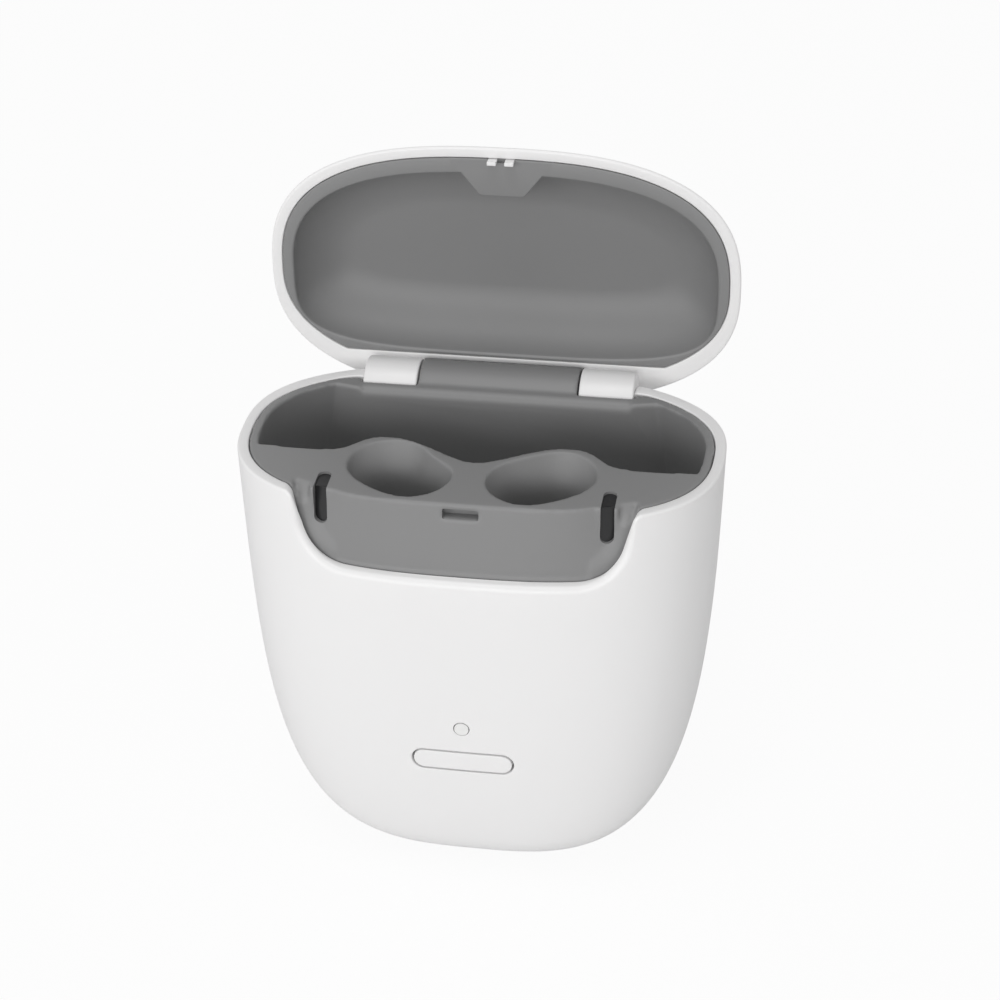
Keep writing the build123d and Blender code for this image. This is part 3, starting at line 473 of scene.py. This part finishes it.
# On the edge, outward is square to the shell's face, and into runs down that face, square to
# the edge itself. The two steps are the turn and the depth that move a point 1 mm that way.
TURN_STEP = 0.001
DEPTH_STEP = 0.2
edge_at = case_at(edge_turn, edge_depth)
ahead = np.roll(edge_at, -1, axis=0) - np.roll(edge_at, 1, axis=0)
ahead /= np.linalg.norm(ahead, axis=1, keepdims=True)
sideways = (case_at(edge_turn + TURN_STEP, edge_depth)
            - case_at(edge_turn - TURN_STEP, edge_depth)) / (2 * TURN_STEP)
downwards = (case_at(edge_turn, edge_depth + DEPTH_STEP) - edge_at) / DEPTH_STEP
outward = np.cross(downwards, sideways)
outward /= np.linalg.norm(outward, axis=1, keepdims=True)
outward *= np.sign(np.sum(outward * edge_at * [1, 1, 0], axis=1))[:, None]
plain_spot = scoop_end + RIM_POINTS // 2
into = np.cross(outward, ahead)
into *= np.sign(into[plain_spot] @ downwards[plain_spot])
face_ways = np.stack([sideways, downwards], axis=-1)
step_turn, step_depth = (np.linalg.pinv(face_ways) @ into[..., None])[..., 0].T

RIM_SOFT = 0.45
SCOOP_SOFT = 1.3
SOFT_CHANGE = 5.0
INNER_SOFT = 0.25
FAN_SHARE = 0.3
FALL_SWEEP = 1.326
FALL_EVEN = 0.45
past_lip = np.clip((edge_depth - SCOOP_SIDE_FROM) / SOFT_CHANGE, 0, 1)
in_scoop = past_lip * (np.arange(len(edge_turn)) < scoop_end)
soft_edge = RIM_SOFT + (SCOOP_SOFT - RIM_SOFT) * in_scoop
outer_rows, inner_rows = [], []
for move, sink in quarter(soft_edge, 8):
    outer_turn, outer_depth = edge_turn + step_turn * move, edge_depth + step_depth * move
    outer_rows.append(case_at(outer_turn, outer_depth) - outward * sink[:, None])
for move, sink in quarter(INNER_SOFT, 4):
    low_turn, low_depth = inner_turn + step_turn * move, edge_depth + step_depth * move
    inner_rows.append(inside_at(low_turn, low_depth) + outward * sink)


def fall(surface, turn, depth, lowest, steps):
    """Rings from the edge down to a flat floor, closer together where the case rounds off."""
    rows = []
    for v in np.linspace(0, 1, steps + 1)[1:]:
        spread = 1 - (1 - min(v / FAN_SHARE, 1.0)) ** 2
        curve = (np.sin(FALL_SWEEP * v) / np.sin(FALL_SWEEP)) ** (2 / SIDE_ROUNDING)
        share = min(FALL_EVEN * v + (1 - FALL_EVEN) * curve, 1.0)
        rows.append(surface(turn + fan * spread, depth + (RIM - lowest - depth) * share))
    return rows


outer_rows += fall(case_at, outer_turn, outer_depth, SHELL_LOW, 60)
inner_rows += fall(inside_at, low_turn, low_depth, FLOOR_TOP, 30)
shell = skin("shell", outer_rows[::-1] + inner_rows, (0, 0, SHELL_LOW), (0, 0, FLOOR_TOP))


def front_pill(length, height, middle, grow, sink):
    """Ring of a pill outline on the front of the case, grown and set back by distances."""
    around = np.linspace(0, ROUND, 97)[:-1]
    radius = height / 2 + grow
    across = (length - height) / 2 * np.sign(np.round(np.cos(around), 6)) + radius * np.cos(around)
    up = middle + radius * np.sin(around)
    return np.stack([across, sink + front_at(across, RIM - up), up], axis=-1)


CUT_BEHIND = 6.0
CUT_AHEAD = 4.0


def front_opening(length, height, middle, ease):
    """Shape that cuts a pill through the front wall and rounds the edge of the hole."""
    rows = [front_pill(length, height, middle, 0, CUT_BEHIND)]
    for move, sink in reversed(quarter(ease, 6)):
        rows.append(front_pill(length, height, middle, sink, move))
    rows.append(front_pill(length, height, middle, ease, -CUT_AHEAD))
    return skin("opening", rows, rows[0].mean(axis=0), rows[-1].mean(axis=0))


BUTTON_MIDDLE = RIM - 47.35
BUTTON_LENGTH = 16.5
BUTTON_HEIGHT = 3.6
BUTTON_GROOVE = 0.35
BUTTON_SOFT = 0.18
LIGHT_MIDDLE = RIM - 40.4
LIGHT_HOLE = 2.7
LIGHT_SOFT = 0.1
SOCKET_MIDDLE = 9.6
SOCKET_HOLE_HALF = 4.77
SOCKET_HOLE_RISE = 1.9
SOCKET_HOLE_FROM = 17.0
SOCKET_HOLE_TO = 40.0
carve(shell, front_opening(BUTTON_LENGTH + 2 * BUTTON_GROOVE, BUTTON_HEIGHT + 2 * BUTTON_GROOVE,
                           BUTTON_MIDDLE, BUTTON_SOFT))
carve(shell, front_opening(LIGHT_HOLE, LIGHT_HOLE, LIGHT_MIDDLE, LIGHT_SOFT))
carve(shell, bar((-SOCKET_HOLE_HALF, SOCKET_HOLE_FROM, SOCKET_MIDDLE - SOCKET_HOLE_RISE),
                 (SOCKET_HOLE_HALF, SOCKET_HOLE_TO, SOCKET_MIDDLE + SOCKET_HOLE_RISE),
                 1, SOCKET_HOLE_RISE - 0.001))
settle(shell, "shell", white, "case", "outer_shell")

# Lid shell
# The lid is a low white dome with a rounded rim. Two knuckles below its back edge carry it on
# the hinge pin, and the back of its rim is cut out between them for the hinge block.
LID_Z = RIM + 0.3
LID_HEIGHT = 13.0
LID_SIDE_TAPER = 3.0
LID_DEPTH_TAPER = 5.0
LID_ROUNDING = 3.0
LID_HOLLOW = LID_HEIGHT - WALL
LID_INNER_SOFT = 0.2
CHORD_Y = 14.7
OPEN_ANGLE = 92.0
HINGE = (HINGE_Y, RIM - HINGE_DROP)
BLOCK_END = 13.9
KNUCKLE_BACK = 22.8
KNUCKLE_SOFT = 0.35
KNUCKLE_CUT = 8.0
PIN_HOLE = 1.02
PIN_HOLE_END = 22.9
ring = np.interp(np.arange(360) / 360, walked, fine)


def dome_at(share, height, wall=0.0, rear_wall=0.0, rear_power=REAR_POWER, back=np.inf, lift=0.0):
    """Ring of the lid's dome at a share of its height, with its back cut straight."""
    side = round_off(share, LID_ROUNDING)
    x, y = egg(ring, (HALF_WIDTH - LID_SIDE_TAPER * share - wall) * side,
               (FRONT_DEPTH - LID_DEPTH_TAPER * share - wall) * side,
               (REAR_DEPTH - LID_DEPTH_TAPER * share - rear_wall) * side, FRONT_POWER, rear_power)
    return np.stack([x, np.minimum(y, back), LID_Z + lift + height * share + 0 * x], axis=-1)


def dome_rows(height, steps, least, *sizes):
    """Rings up the dome, from the first that is far enough above its edge."""
    shares = np.sin(np.linspace(0, np.pi / 2, steps)[1:-1]) ** (2 / LID_ROUNDING)
    return [dome_at(share, height, *sizes) for share in shares if share * height > least]


def rod(radius, start, end, soft=0.0, steps=64):
    """Round bar between two points, with softened ends."""
    start, end = Vector(start) * MM, Vector(end) * MM
    bpy.ops.object.select_all(action="DESELECT")
    bpy.ops.mesh.primitive_cylinder_add(vertices=steps, radius=radius * MM, depth=(end - start).length,
                                        location=(start + end) / 2,
                                        rotation=(end - start).to_track_quat("Z", "Y").to_euler())
    piece = bpy.context.object
    bpy.ops.object.transform_apply(location=True, rotation=True, scale=True)
    soften(piece, soft)
    return piece


def swing_open(piece):
    """Turn a piece of the closed lid about the hinge to where it is open."""
    hinge = Vector((0, *HINGE)) * MM
    piece.data.transform(Matrix.Translation(hinge) @ Matrix.Rotation(radians(-OPEN_ANGLE), 4, "X")
                         @ Matrix.Translation(-hinge))


lid_rows = [dome_at(0.0, LID_HEIGHT, sink, sink, lift=move) for move, sink in quarter(RIM_SOFT, 8)]
lid_rows += dome_rows(LID_HEIGHT, 44, 0.5)
hollow_rows = [dome_at(0.0, LID_HOLLOW, WALL - sink, HINGE_WALL - sink, INNER_REAR_POWER,
                       CHORD_Y + sink, move) for move, sink in quarter(LID_INNER_SOFT, 4)]
hollow_rows += dome_rows(LID_HOLLOW, 24, 0.3, WALL, HINGE_WALL, INNER_REAR_POWER, CHORD_Y)
lid = skin("lid", lid_rows[::-1] + hollow_rows, (0, 0, LID_Z + LID_HEIGHT), (0, 0, LID_Z + LID_HOLLOW))
carve(lid, rod(KNUCKLE_RADIUS + SWING_GAP, (-BLOCK_END, *HINGE), (BLOCK_END, *HINGE), steps=128))
for side in (-1, 1):
    knuckle = rod(KNUCKLE_RADIUS, (side * BLOCK_END, *HINGE), (side * KNUCKLE_END, *HINGE),
                  KNUCKLE_SOFT, 128)
    middle = side * (BLOCK_END + KNUCKLE_END) / 2
    carve(knuckle, bar((middle - KNUCKLE_CUT, KNUCKLE_BACK, HINGE[1] - KNUCKLE_CUT),
                       (middle + KNUCKLE_CUT, KNUCKLE_BACK + KNUCKLE_CUT, HINGE[1] + KNUCKLE_CUT), 0, 0.0))
    carve(lid, knuckle, "UNION")
carve(lid, rod(PIN_HOLE, (-PIN_HOLE_END, *HINGE), (PIN_HOLE_END, *HINGE), steps=32))
swing_open(lid)
settle(lid, "lid", white, "lid", "lid_shell")

# Lid liner
# A grey lining is pressed into the lid. It has a flat ring round a wide dish, and a tab in the
# middle of the front edge that covers the magnet.
grey = Finish("grey_plastic", (0.222, 0.222, 0.223), 0.5)
grey.grain(grey.noise(3200.0, 3.0), 0.08, 0.0001)
LINER_GAP = 0.1
LINER_TOP = LID_HOLLOW - LINER_GAP
LINER_SIZES = (WALL + LINER_GAP, HINGE_WALL + LINER_GAP, INNER_REAR_POWER, CHORD_Y - LINER_GAP)
LINER_SOFT = 0.25
DISH_HALF = 36.2
DISH_FRONT = 19.35
DISH_REAR = 13.8
DISH_REAR_POWER = 4.0
DISH_DEPTH = 8.5
DISH_NARROWING = 9.2
DISH_ROUNDING = 1.9
DISH_SOFT = 0.4
TAB_ROOT = (-8.9, -22.0, 0)
TAB_TIP = (-3.7, -15.4, 0.9)
TAB_THICKNESS = 2.6
TAB_SOFT = 0.3
LATCH_HOLE_HALF = 2.25
LATCH_HOLE_FRONT = -22.15
LATCH_HOLE_BACK = -21.42
LATCH_HOLE_LOW = 70.0
LATCH_HOLE_TOP = 76.4


def dish_at(share, grow=0.0, lift=0.0):
    """Ring of the dish at a share of its depth."""
    narrow = DISH_NARROWING * (1 - round_off(share, DISH_ROUNDING)) - grow
    x, y = egg(ring, DISH_HALF - narrow, DISH_FRONT - narrow, DISH_REAR - narrow,
               FRONT_POWER, DISH_REAR_POWER)
    return np.stack([x, y, LID_Z + lift + DISH_DEPTH * share + 0 * x], axis=-1)


liner_rows = dome_rows(LINER_TOP, 20, 0.4, *LINER_SIZES)[::-1]
side_wall, rear_wall, rear_power, chord = LINER_SIZES
for move, sink in reversed(quarter(LINER_SOFT, 4)):
    liner_rows.append(dome_at(0.0, LINER_TOP, side_wall + sink, rear_wall + sink, rear_power,
                              chord - sink, move))
liner_rows += [dish_at(0.0, sink, move) for move, sink in quarter(DISH_SOFT, 6)]
dish_shares = np.sin(np.linspace(0, np.pi / 2, 36)[1:]) ** (2 / DISH_ROUNDING)
liner_rows += [dish_at(share) for share in dish_shares if share * DISH_DEPTH > 0.5]
liner = skin("liner", liner_rows, (0, 0, LID_Z + LINER_TOP), (0, 0, LID_Z + DISH_DEPTH))
tab_line = rounded([TAB_ROOT, TAB_TIP], 3.0)
tab_ends = np.arange(2 * len(tab_line)).reshape(2, -1)
tab_points = [(x, y, z) for z in (LID_Z, LID_Z + TAB_THICKNESS) for x, y in tab_line]
tab = solid("tab", tab_points, [*tab_ends.tolist(), *bands(tab_ends)])
soften(tab, TAB_SOFT)
carve(liner, tab, "UNION")
carve(liner, bar((-LATCH_HOLE_HALF, LATCH_HOLE_FRONT, LATCH_HOLE_LOW),
                 (LATCH_HOLE_HALF, LATCH_HOLE_BACK, LATCH_HOLE_TOP), 2, 0.05))
swing_open(liner)
settle(liner, "liner", grey, "lid", "lid_liner")

# Inner tray
# A grey insert fills the mouth of the shell: a flat deck with two pockets, a sloped face
# behind the thumb hollow, a deep recess at the back and the middle block of the hinge.
CREASE = [(0, -20.35), (12, -20.2), (19, -19.2), (22.2, -17.95), (25.5, -16.6), (30, -14.6)]
SLOPE_GAP = 0.35
FLARE_REACH = 3.2
FLARE_GAP = 0.2
FLARE_FROM = 3.0
FILL_FROM = 20.6
FILL_TO = 28.2
FILL_DEPTH = 11.9
FILL_BACK = -13.2
FILL_THICKNESS = 1.2
FILL_SLANT = 0.25
FLARE_BEND = 0.7
TRAY_VOXEL = 0.34
TRAY_FACES = 185000
TRAY_BACK = 19.2
TRAY_LOW = 50.0
TRAY_EASE = 5.0
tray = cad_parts["inner_tray"].copy()
tray.data = tray.data.copy()
scene.collection.objects.link(tray)
tray.modifiers.clear()
edit(tray, bpy.ops.mesh.remove_doubles, threshold=0.000001)
crease_x, crease_y = np.array(CREASE).T
crease_bend = np.polyfit(np.concatenate([-crease_x[:0:-1], crease_x]),
                         np.concatenate([crease_y[:0:-1], crease_y]), 6)
scoop_line = rounded([(-SCOOP_TOP, -6, 0), (-SCOOP_BOTTOM, SCOOP_DEPTH, SCOOP_CORNER)], 0.3)


def slope_y(x, depth):
    """Y of the tray's sloped face."""
    top = np.polyval(crease_bend, np.abs(x))
    return top + (front_at(x, SCOOP_DEPTH, WALL) + SLOPE_GAP - top) * depth / SCOOP_DEPTH


def from_scoop(x, depth):
    """Distance inwards from the edge of the thumb hollow."""
    away = np.hypot(x[..., None] - scoop_line[:, 0], depth[..., None] - scoop_line[:, 1]).min(axis=-1)
    side = SCOOP_TOP - (SCOOP_TOP - SCOOP_BOTTOM) * np.clip(depth, 0, SCOOP_DEPTH) / SCOOP_DEPTH
    return np.where((np.abs(x) < side) & (depth < SCOOP_DEPTH), away, -away)


def slab(front, back):
    """Closed mesh between two grids of points."""
    grids = np.arange(front[..., 0].size * 2).reshape(2, *front.shape[:2])
    faces = []
    for grid in grids:
        corners = [grid[:-1, :-1], grid[:-1, 1:], grid[1:, 1:], grid[1:, :-1]]
        faces += np.stack(corners, axis=-1).reshape(-1, 4).tolist()
    borders = [np.concatenate([grid[0, :-1], grid[:-1, -1], grid[-1, :0:-1], grid[:0:-1, 0]])
               for grid in grids]
    return solid("slab", np.concatenate([front.reshape(-1, 3), back.reshape(-1, 3)]),
                 faces + bands(np.array(borders)))


def add_to(piece, extra):
    """Make a shape part of a piece's mesh, as it lies."""
    pick(extra)
    piece.select_set(True)
    bpy.context.view_layer.objects.active = piece
    bpy.ops.object.join()


# The slots of the solid tray are plugged, and the sloped face is carried out to the shell at
# its sides. The mesh is made even, smoothed and thinned, and the slots are then cut afresh.
SLOT_X = 23.0
PLUG_HALF = 1.8
PLUG_FRONT = -18.6
PLUG_BACK = -11.8
PLUG_DROP = 3.3
PLUG_TOP = RIM - 0.02
LATCH_PLUG = ((-3.4, -20.1, RIM - 3.2), (3.4, PLUG_FRONT, RIM - 0.3))
for side in (-1, 1):
    fill_x, fill_depth = np.meshgrid(side * np.linspace(FILL_FROM, FILL_TO, 40),
                                     np.linspace(0.0, FILL_DEPTH, 60))
    flare = np.clip(1 - from_scoop(fill_x, fill_depth) / FLARE_REACH, 0, 1)
    flare = flare ** 2 * (3 - 2 * flare) * np.clip(fill_depth / FLARE_FROM, 0, 1) ** FLARE_BEND
    face_y = slope_y(fill_x, fill_depth)
    front_y = face_y + (front_at(fill_x, fill_depth, WALL) + FLARE_GAP - face_y) * flare
    back_y = np.maximum(FILL_BACK - fill_depth * FILL_SLANT, front_y + FILL_THICKNESS)
    add_to(tray, slab(np.stack([fill_x, front_y, RIM - fill_depth], axis=-1),
                      np.stack([fill_x, back_y, RIM - fill_depth], axis=-1)))
    add_to(tray, bar((side * SLOT_X - PLUG_HALF, PLUG_FRONT, RIM - PLUG_DROP),
                     (side * SLOT_X + PLUG_HALF, PLUG_BACK, PLUG_TOP), 2, 0.3))
add_to(tray, bar(*LATCH_PLUG, 2, 0.3))
shape(tray, "REMESH", mode="VOXEL", voxel_size=TRAY_VOXEL * MM)
shape(tray, "SMOOTH", factor=0.5, iterations=4)
shape(tray, "DECIMATE", ratio=min(1.0, TRAY_FACES / (2 * len(tray.data.polygons))))
tray_points = np.empty(len(tray.data.vertices) * 3)
tray.data.vertices.foreach_get("co", tray_points)
tray_points = tray_points.reshape(-1, 3) / MM
high_up = np.clip((tray_points[:, 2] - TRAY_LOW) / TRAY_EASE, 0, 1)
reach_back = 1 + REAR_EASE / TRAY_BACK * beside_hinge(tray_points[:, 0]) * high_up
tray_points[:, 1] *= np.where(tray_points[:, 1] > 0, reach_back, 1)
tray.data.vertices.foreach_set("co", (tray_points * MM).ravel())
tray.data.update()

SLOT_BACK = -14.6
SLOT_WIDTH = 2.2
SLOT_DROP = 6.2
SLOT_SINK = 0.85
SLOT_CLEAR = 6.0
SLOT_HEAD = 3.0
SLOT_REACH = -20.0
LATCH_SLOT = ((-2.9, -26.0, RIM - 2.6), (2.9, -18.9, RIM - 0.95))
TIP_EASE = 0.003
TIP_OVERLAP = 0.01


def fold_ring(side, width, drop, sink, top):
    """Ring of a slot outline on the sloped face, round at its foot and square at its head."""
    foot = np.linspace(np.pi, ROUND, 17)
    middle = side * SLOT_X
    across = np.concatenate([middle + width / 2 * np.cos(foot), [middle + width / 2, middle - width / 2]])
    below = np.concatenate([drop - width / 2 - width / 2 * np.sin(foot), [-top, -top]])
    return np.stack([across, slope_y(across, below) + sink, RIM - below], axis=-1)


def folded(side, width, drop, near, far, top, reach):
    """Bar that folds over the deck's front edge, between two depths."""
    middle = side * SLOT_X
    rows = [fold_ring(side, width, drop, near, top), fold_ring(side, width, drop, far, top)]
    piece = skin("fold", rows, rows[0].mean(axis=0), rows[1].mean(axis=0))
    deck = bar((middle - width / 2, reach, RIM - far), (middle + width / 2, SLOT_BACK, RIM - near), 2, 0.0)
    tip = rod(width / 2 - TIP_EASE, (middle, SLOT_BACK, RIM - far + TIP_OVERLAP),
              (middle, SLOT_BACK, RIM - near - TIP_OVERLAP))
    carve(deck, tip, "UNION")
    carve(piece, deck, "UNION")
    return piece


for side in (-1, 1):
    carve(tray, folded(side, SLOT_WIDTH, SLOT_DROP, -SLOT_CLEAR, SLOT_SINK, SLOT_HEAD, SLOT_REACH))
carve(tray, bar(*LATCH_SLOT, 1, 0.25))
settle(tray, "tray", grey, "case", "inner_tray", sharp=50.0)

# Indicator windows
# Two smoked light guides lie in slots that fold over the front edge of the deck. They are
# moulded in dark clear plastic with a satin face.
smoke = Finish("smoked_plastic", (0.014, 0.014, 0.015), 0.28)
smoke.grain(smoke.noise(1800.0), 0.04, 0.0001)
WINDOW_WIDTH = 2.1
WINDOW_DROP = 6.15
WINDOW_SINK = 0.45
WINDOW_UNDERSIDE = 1.7
WINDOW_HEAD = -0.5
WINDOW_REACH = -17.1
STEM_HALF = 0.6
STEM_LOW = 58.0
STEM_TOP = RIM - 1.0
STEM_FRONT = SLOT_BACK - 0.8
STEM_BACK = SLOT_BACK + 0.4
for side, name in ((-1, "left"), (1, "right")):
    window = folded(side, WINDOW_WIDTH, WINDOW_DROP, WINDOW_SINK, WINDOW_UNDERSIDE, WINDOW_HEAD,
                    WINDOW_REACH)
    stem = bar((side * SLOT_X - STEM_HALF, STEM_FRONT, STEM_LOW),
               (side * SLOT_X + STEM_HALF, STEM_BACK, STEM_TOP), 2, 0.1)
    carve(window, stem, "UNION")
    settle(window, "window_" + name, smoke, "case", "indicator_window_" + name)

# Contact pins
# Four gold plated pins stand in the pocket bottoms and meet the contacts of the hearing aids.
# They are soldered to the contact board.
gold = Finish("gold_plate", (0.85, 0.62, 0.28), 0.25, 1.0)
gold.grain(gold.noise(4000.0), 0.05, 0.00005)
for name in ("charging_pins_left", "charging_pins_right"):
    dress(name, gold)

# Boards
# Glass fibre boards under green solder mask carry the contacts, the charging circuit, the
# switch and the socket. The mask is glossy and shows the copper below it.
board_green = Finish("solder_mask", (0.02, 0.13, 0.06), 0.3)
copper = board_green.node("ShaderNodeTexBrick", "Fac", {"offset": 0.37, "squash": 1.0},
                          {"Vector": board_green.place(), "Scale": 620.0, "Mortar Size": 0.012})
board_green.shade(copper, (0.015, 0.12, 0.055), (0.03, 0.2, 0.09))
board_green.grain(copper, 0.2, 0.00004)
for name in ("contact_board", "main_board", "socket_board", "button_board"):
    dress(name, board_green)

# Chips, sensor and switch
# The chips and the lid sensor are moulded in matt black epoxy, and the push switch has a
# black body of the same look. They are soldered to the boards.
epoxy = Finish("black_epoxy", (0.02, 0.02, 0.021), 0.55)
epoxy.grain(epoxy.noise(5200.0, 4.0), 0.25, 0.00004)
for name in ("controller_chip", "charge_chip", "lid_sensor", "switch_body"):
    dress(name, epoxy)

# Lights
# Small lamps under the windows and the lens are cast in clear resin, a little milky. They
# are soldered to the boards.
resin = Finish("clear_resin", (0.82, 0.8, 0.7), 0.2)
resin.shade(resin.noise(900.0), (0.76, 0.74, 0.62), (0.86, 0.85, 0.76))
for name in ("indicator_leds", "status_led"):
    dress(name, resin)

# Chassis
# A dark grey frame moulding carries the boards and the battery, and is screwed up to the
# tray. Its face has the fine grain of an eroded mould.
frame_plastic = Finish("dark_frame_plastic", (0.07, 0.072, 0.075), 0.55)
frame_plastic.grain(frame_plastic.noise(2800.0, 4.0), 0.2, 0.0001)
dress("chassis", frame_plastic)

# Screws, socket shell and hinge pin
# The screws, the shell of the charging socket and the pin of the hinge are bright nickel
# plated steel, with faint streaks from the plating.
steel = Finish("plated_steel", (0.62, 0.62, 0.63), 0.28, 1.0)
streaks = steel.noise(1500.0, 5.0)
steel.feed("Roughness", streaks * 0.18 + 0.2)
steel.grain(streaks, 0.06, 0.00005)
for name in ("base_screws", "contact_screw", "chassis_screws", "main_board_screws",
             "socket_board_screws", "button_board_screws", "charging_socket", "hinge_pin"):
    dress(name, steel)

# Battery
# The cell is in a pale blue shrink wrap, a little creased, and a strip of black foam tape
# holds it to the shelf.
wrap = Finish("shrink_wrap", (0.25, 0.4, 0.55), 0.35)
creases = wrap.noise(140.0, 3.0)
wrap.shade(creases, (0.2, 0.35, 0.5), (0.3, 0.45, 0.6))
wrap.grain(creases, 0.5, 0.0004)
dress("battery", wrap)
foam = Finish("foam_tape", (0.03, 0.03, 0.03), 0.9)
foam.grain(foam.noise(3500.0, 5.0), 0.8, 0.0002)
dress("battery_tape", foam)

# Battery connector
# The battery's leads plug into a small cream block on the main board. It is moulded in nylon
# and soldered to the board.
nylon = Finish("cream_nylon", (0.78, 0.72, 0.58), 0.45)
nylon.grain(nylon.noise(2400.0), 0.1, 0.0001)
dress("battery_connector", nylon)

# Button, light and latch
# The long button cap and the latch clip are moulded in the white of the shell, the switch
# plunger in a harder white, and the round light has a milky lens.
CAP_BACK = -23.0
FLANGE = 1.5
FLANGE_BACK = -22.9
FLANGE_FRONT = -23.9
FLANGE_CORNER = 3.2
LATCH_BASE = ((-2.4, -22.0, 76.45), (2.4, -21.0, 77.0))
PRONG_MIDDLE = 1.45
PRONG_HALF = 0.75
PRONG_FRONT = -22.05
PRONG_BACK = -21.45
PRONG_TIP = 74.4
PRONG_ROOT = 76.8


def front_plug(length, height, middle, ease, back):
    """Pill-ended plug that follows the front of the case, with a softened edge."""
    rows = [front_pill(length, height, middle, 0, 0)]
    rows[0][:, 1] = back
    for move, sink in quarter(ease, 6):
        rows.append(front_pill(length, height, middle, -move, sink))
    for share in (0.3, 0.6, 0.85, 0.98):
        rows.append(front_pill(length, height, middle, -ease - (height / 2 - ease) * share, 0))
    face_middle = rows[-1].mean(axis=0)
    face_middle[1] = rows[-1][len(rows[-1]) // 4, 1]
    return skin("plug", rows, rows[0].mean(axis=0), face_middle)


cap = front_plug(BUTTON_LENGTH, BUTTON_HEIGHT, BUTTON_MIDDLE, BUTTON_SOFT, CAP_BACK)
flange_half = BUTTON_LENGTH / 2 + FLANGE
flange_rise = BUTTON_HEIGHT / 2 + FLANGE
carve(cap, bar((-flange_half, FLANGE_FRONT, BUTTON_MIDDLE - flange_rise),
               (flange_half, FLANGE_BACK, BUTTON_MIDDLE + flange_rise), 1, FLANGE_CORNER), "UNION")
settle(cap, "cap", white, "button", "button_cap")
latch = bar(*LATCH_BASE, 2, 0.1)
for side in (-1, 1):
    prong = bar((side * PRONG_MIDDLE - PRONG_HALF, PRONG_FRONT, PRONG_TIP),
                (side * PRONG_MIDDLE + PRONG_HALF, PRONG_BACK, PRONG_ROOT), 2, 0.12, 0.1)
    carve(latch, prong, "UNION")
swing_open(latch)
settle(latch, "latch", white, "lid", "latch_hook")
plunger_white = Finish("plunger_plastic", (0.72, 0.72, 0.7), 0.4)
plunger_white.grain(plunger_white.noise(3000.0), 0.08, 0.0001)
dress("switch_plunger", plunger_white)
lens = Finish("milky_lens", (0.8, 0.8, 0.79), 0.3)
lens.grain(lens.noise(2000.0), 0.03, 0.0001)
dress("status_lens", lens)

# Hinge bushes and lid magnet
# The pin turns in two cream acetal bushes. The magnet in the lid's tab is a nickel plated
# disc.
acetal = Finish("acetal", (0.76, 0.74, 0.68), 0.35)
acetal.grain(acetal.noise(2600.0), 0.08, 0.0001)
for name in ("hinge_bush_left", "hinge_bush_right"):
    dress(name, acetal)
nickel = Finish("nickel_plate", (0.6, 0.59, 0.57), 0.3, 1.0)
nickel.feed("Roughness", nickel.noise(1200.0) * 0.15 + 0.22)
dress("lid_magnet", nickel)

# Foot pad
# A soft dark rubber pad is glued into the seat under the shell, over the two base screws.
# Its face is matt and slightly rough.
rubber = Finish("rubber", (0.035, 0.035, 0.036), 0.8)
rubber.grain(rubber.noise(1600.0, 4.0), 0.35, 0.0002)
dress("foot_pad", rubber)
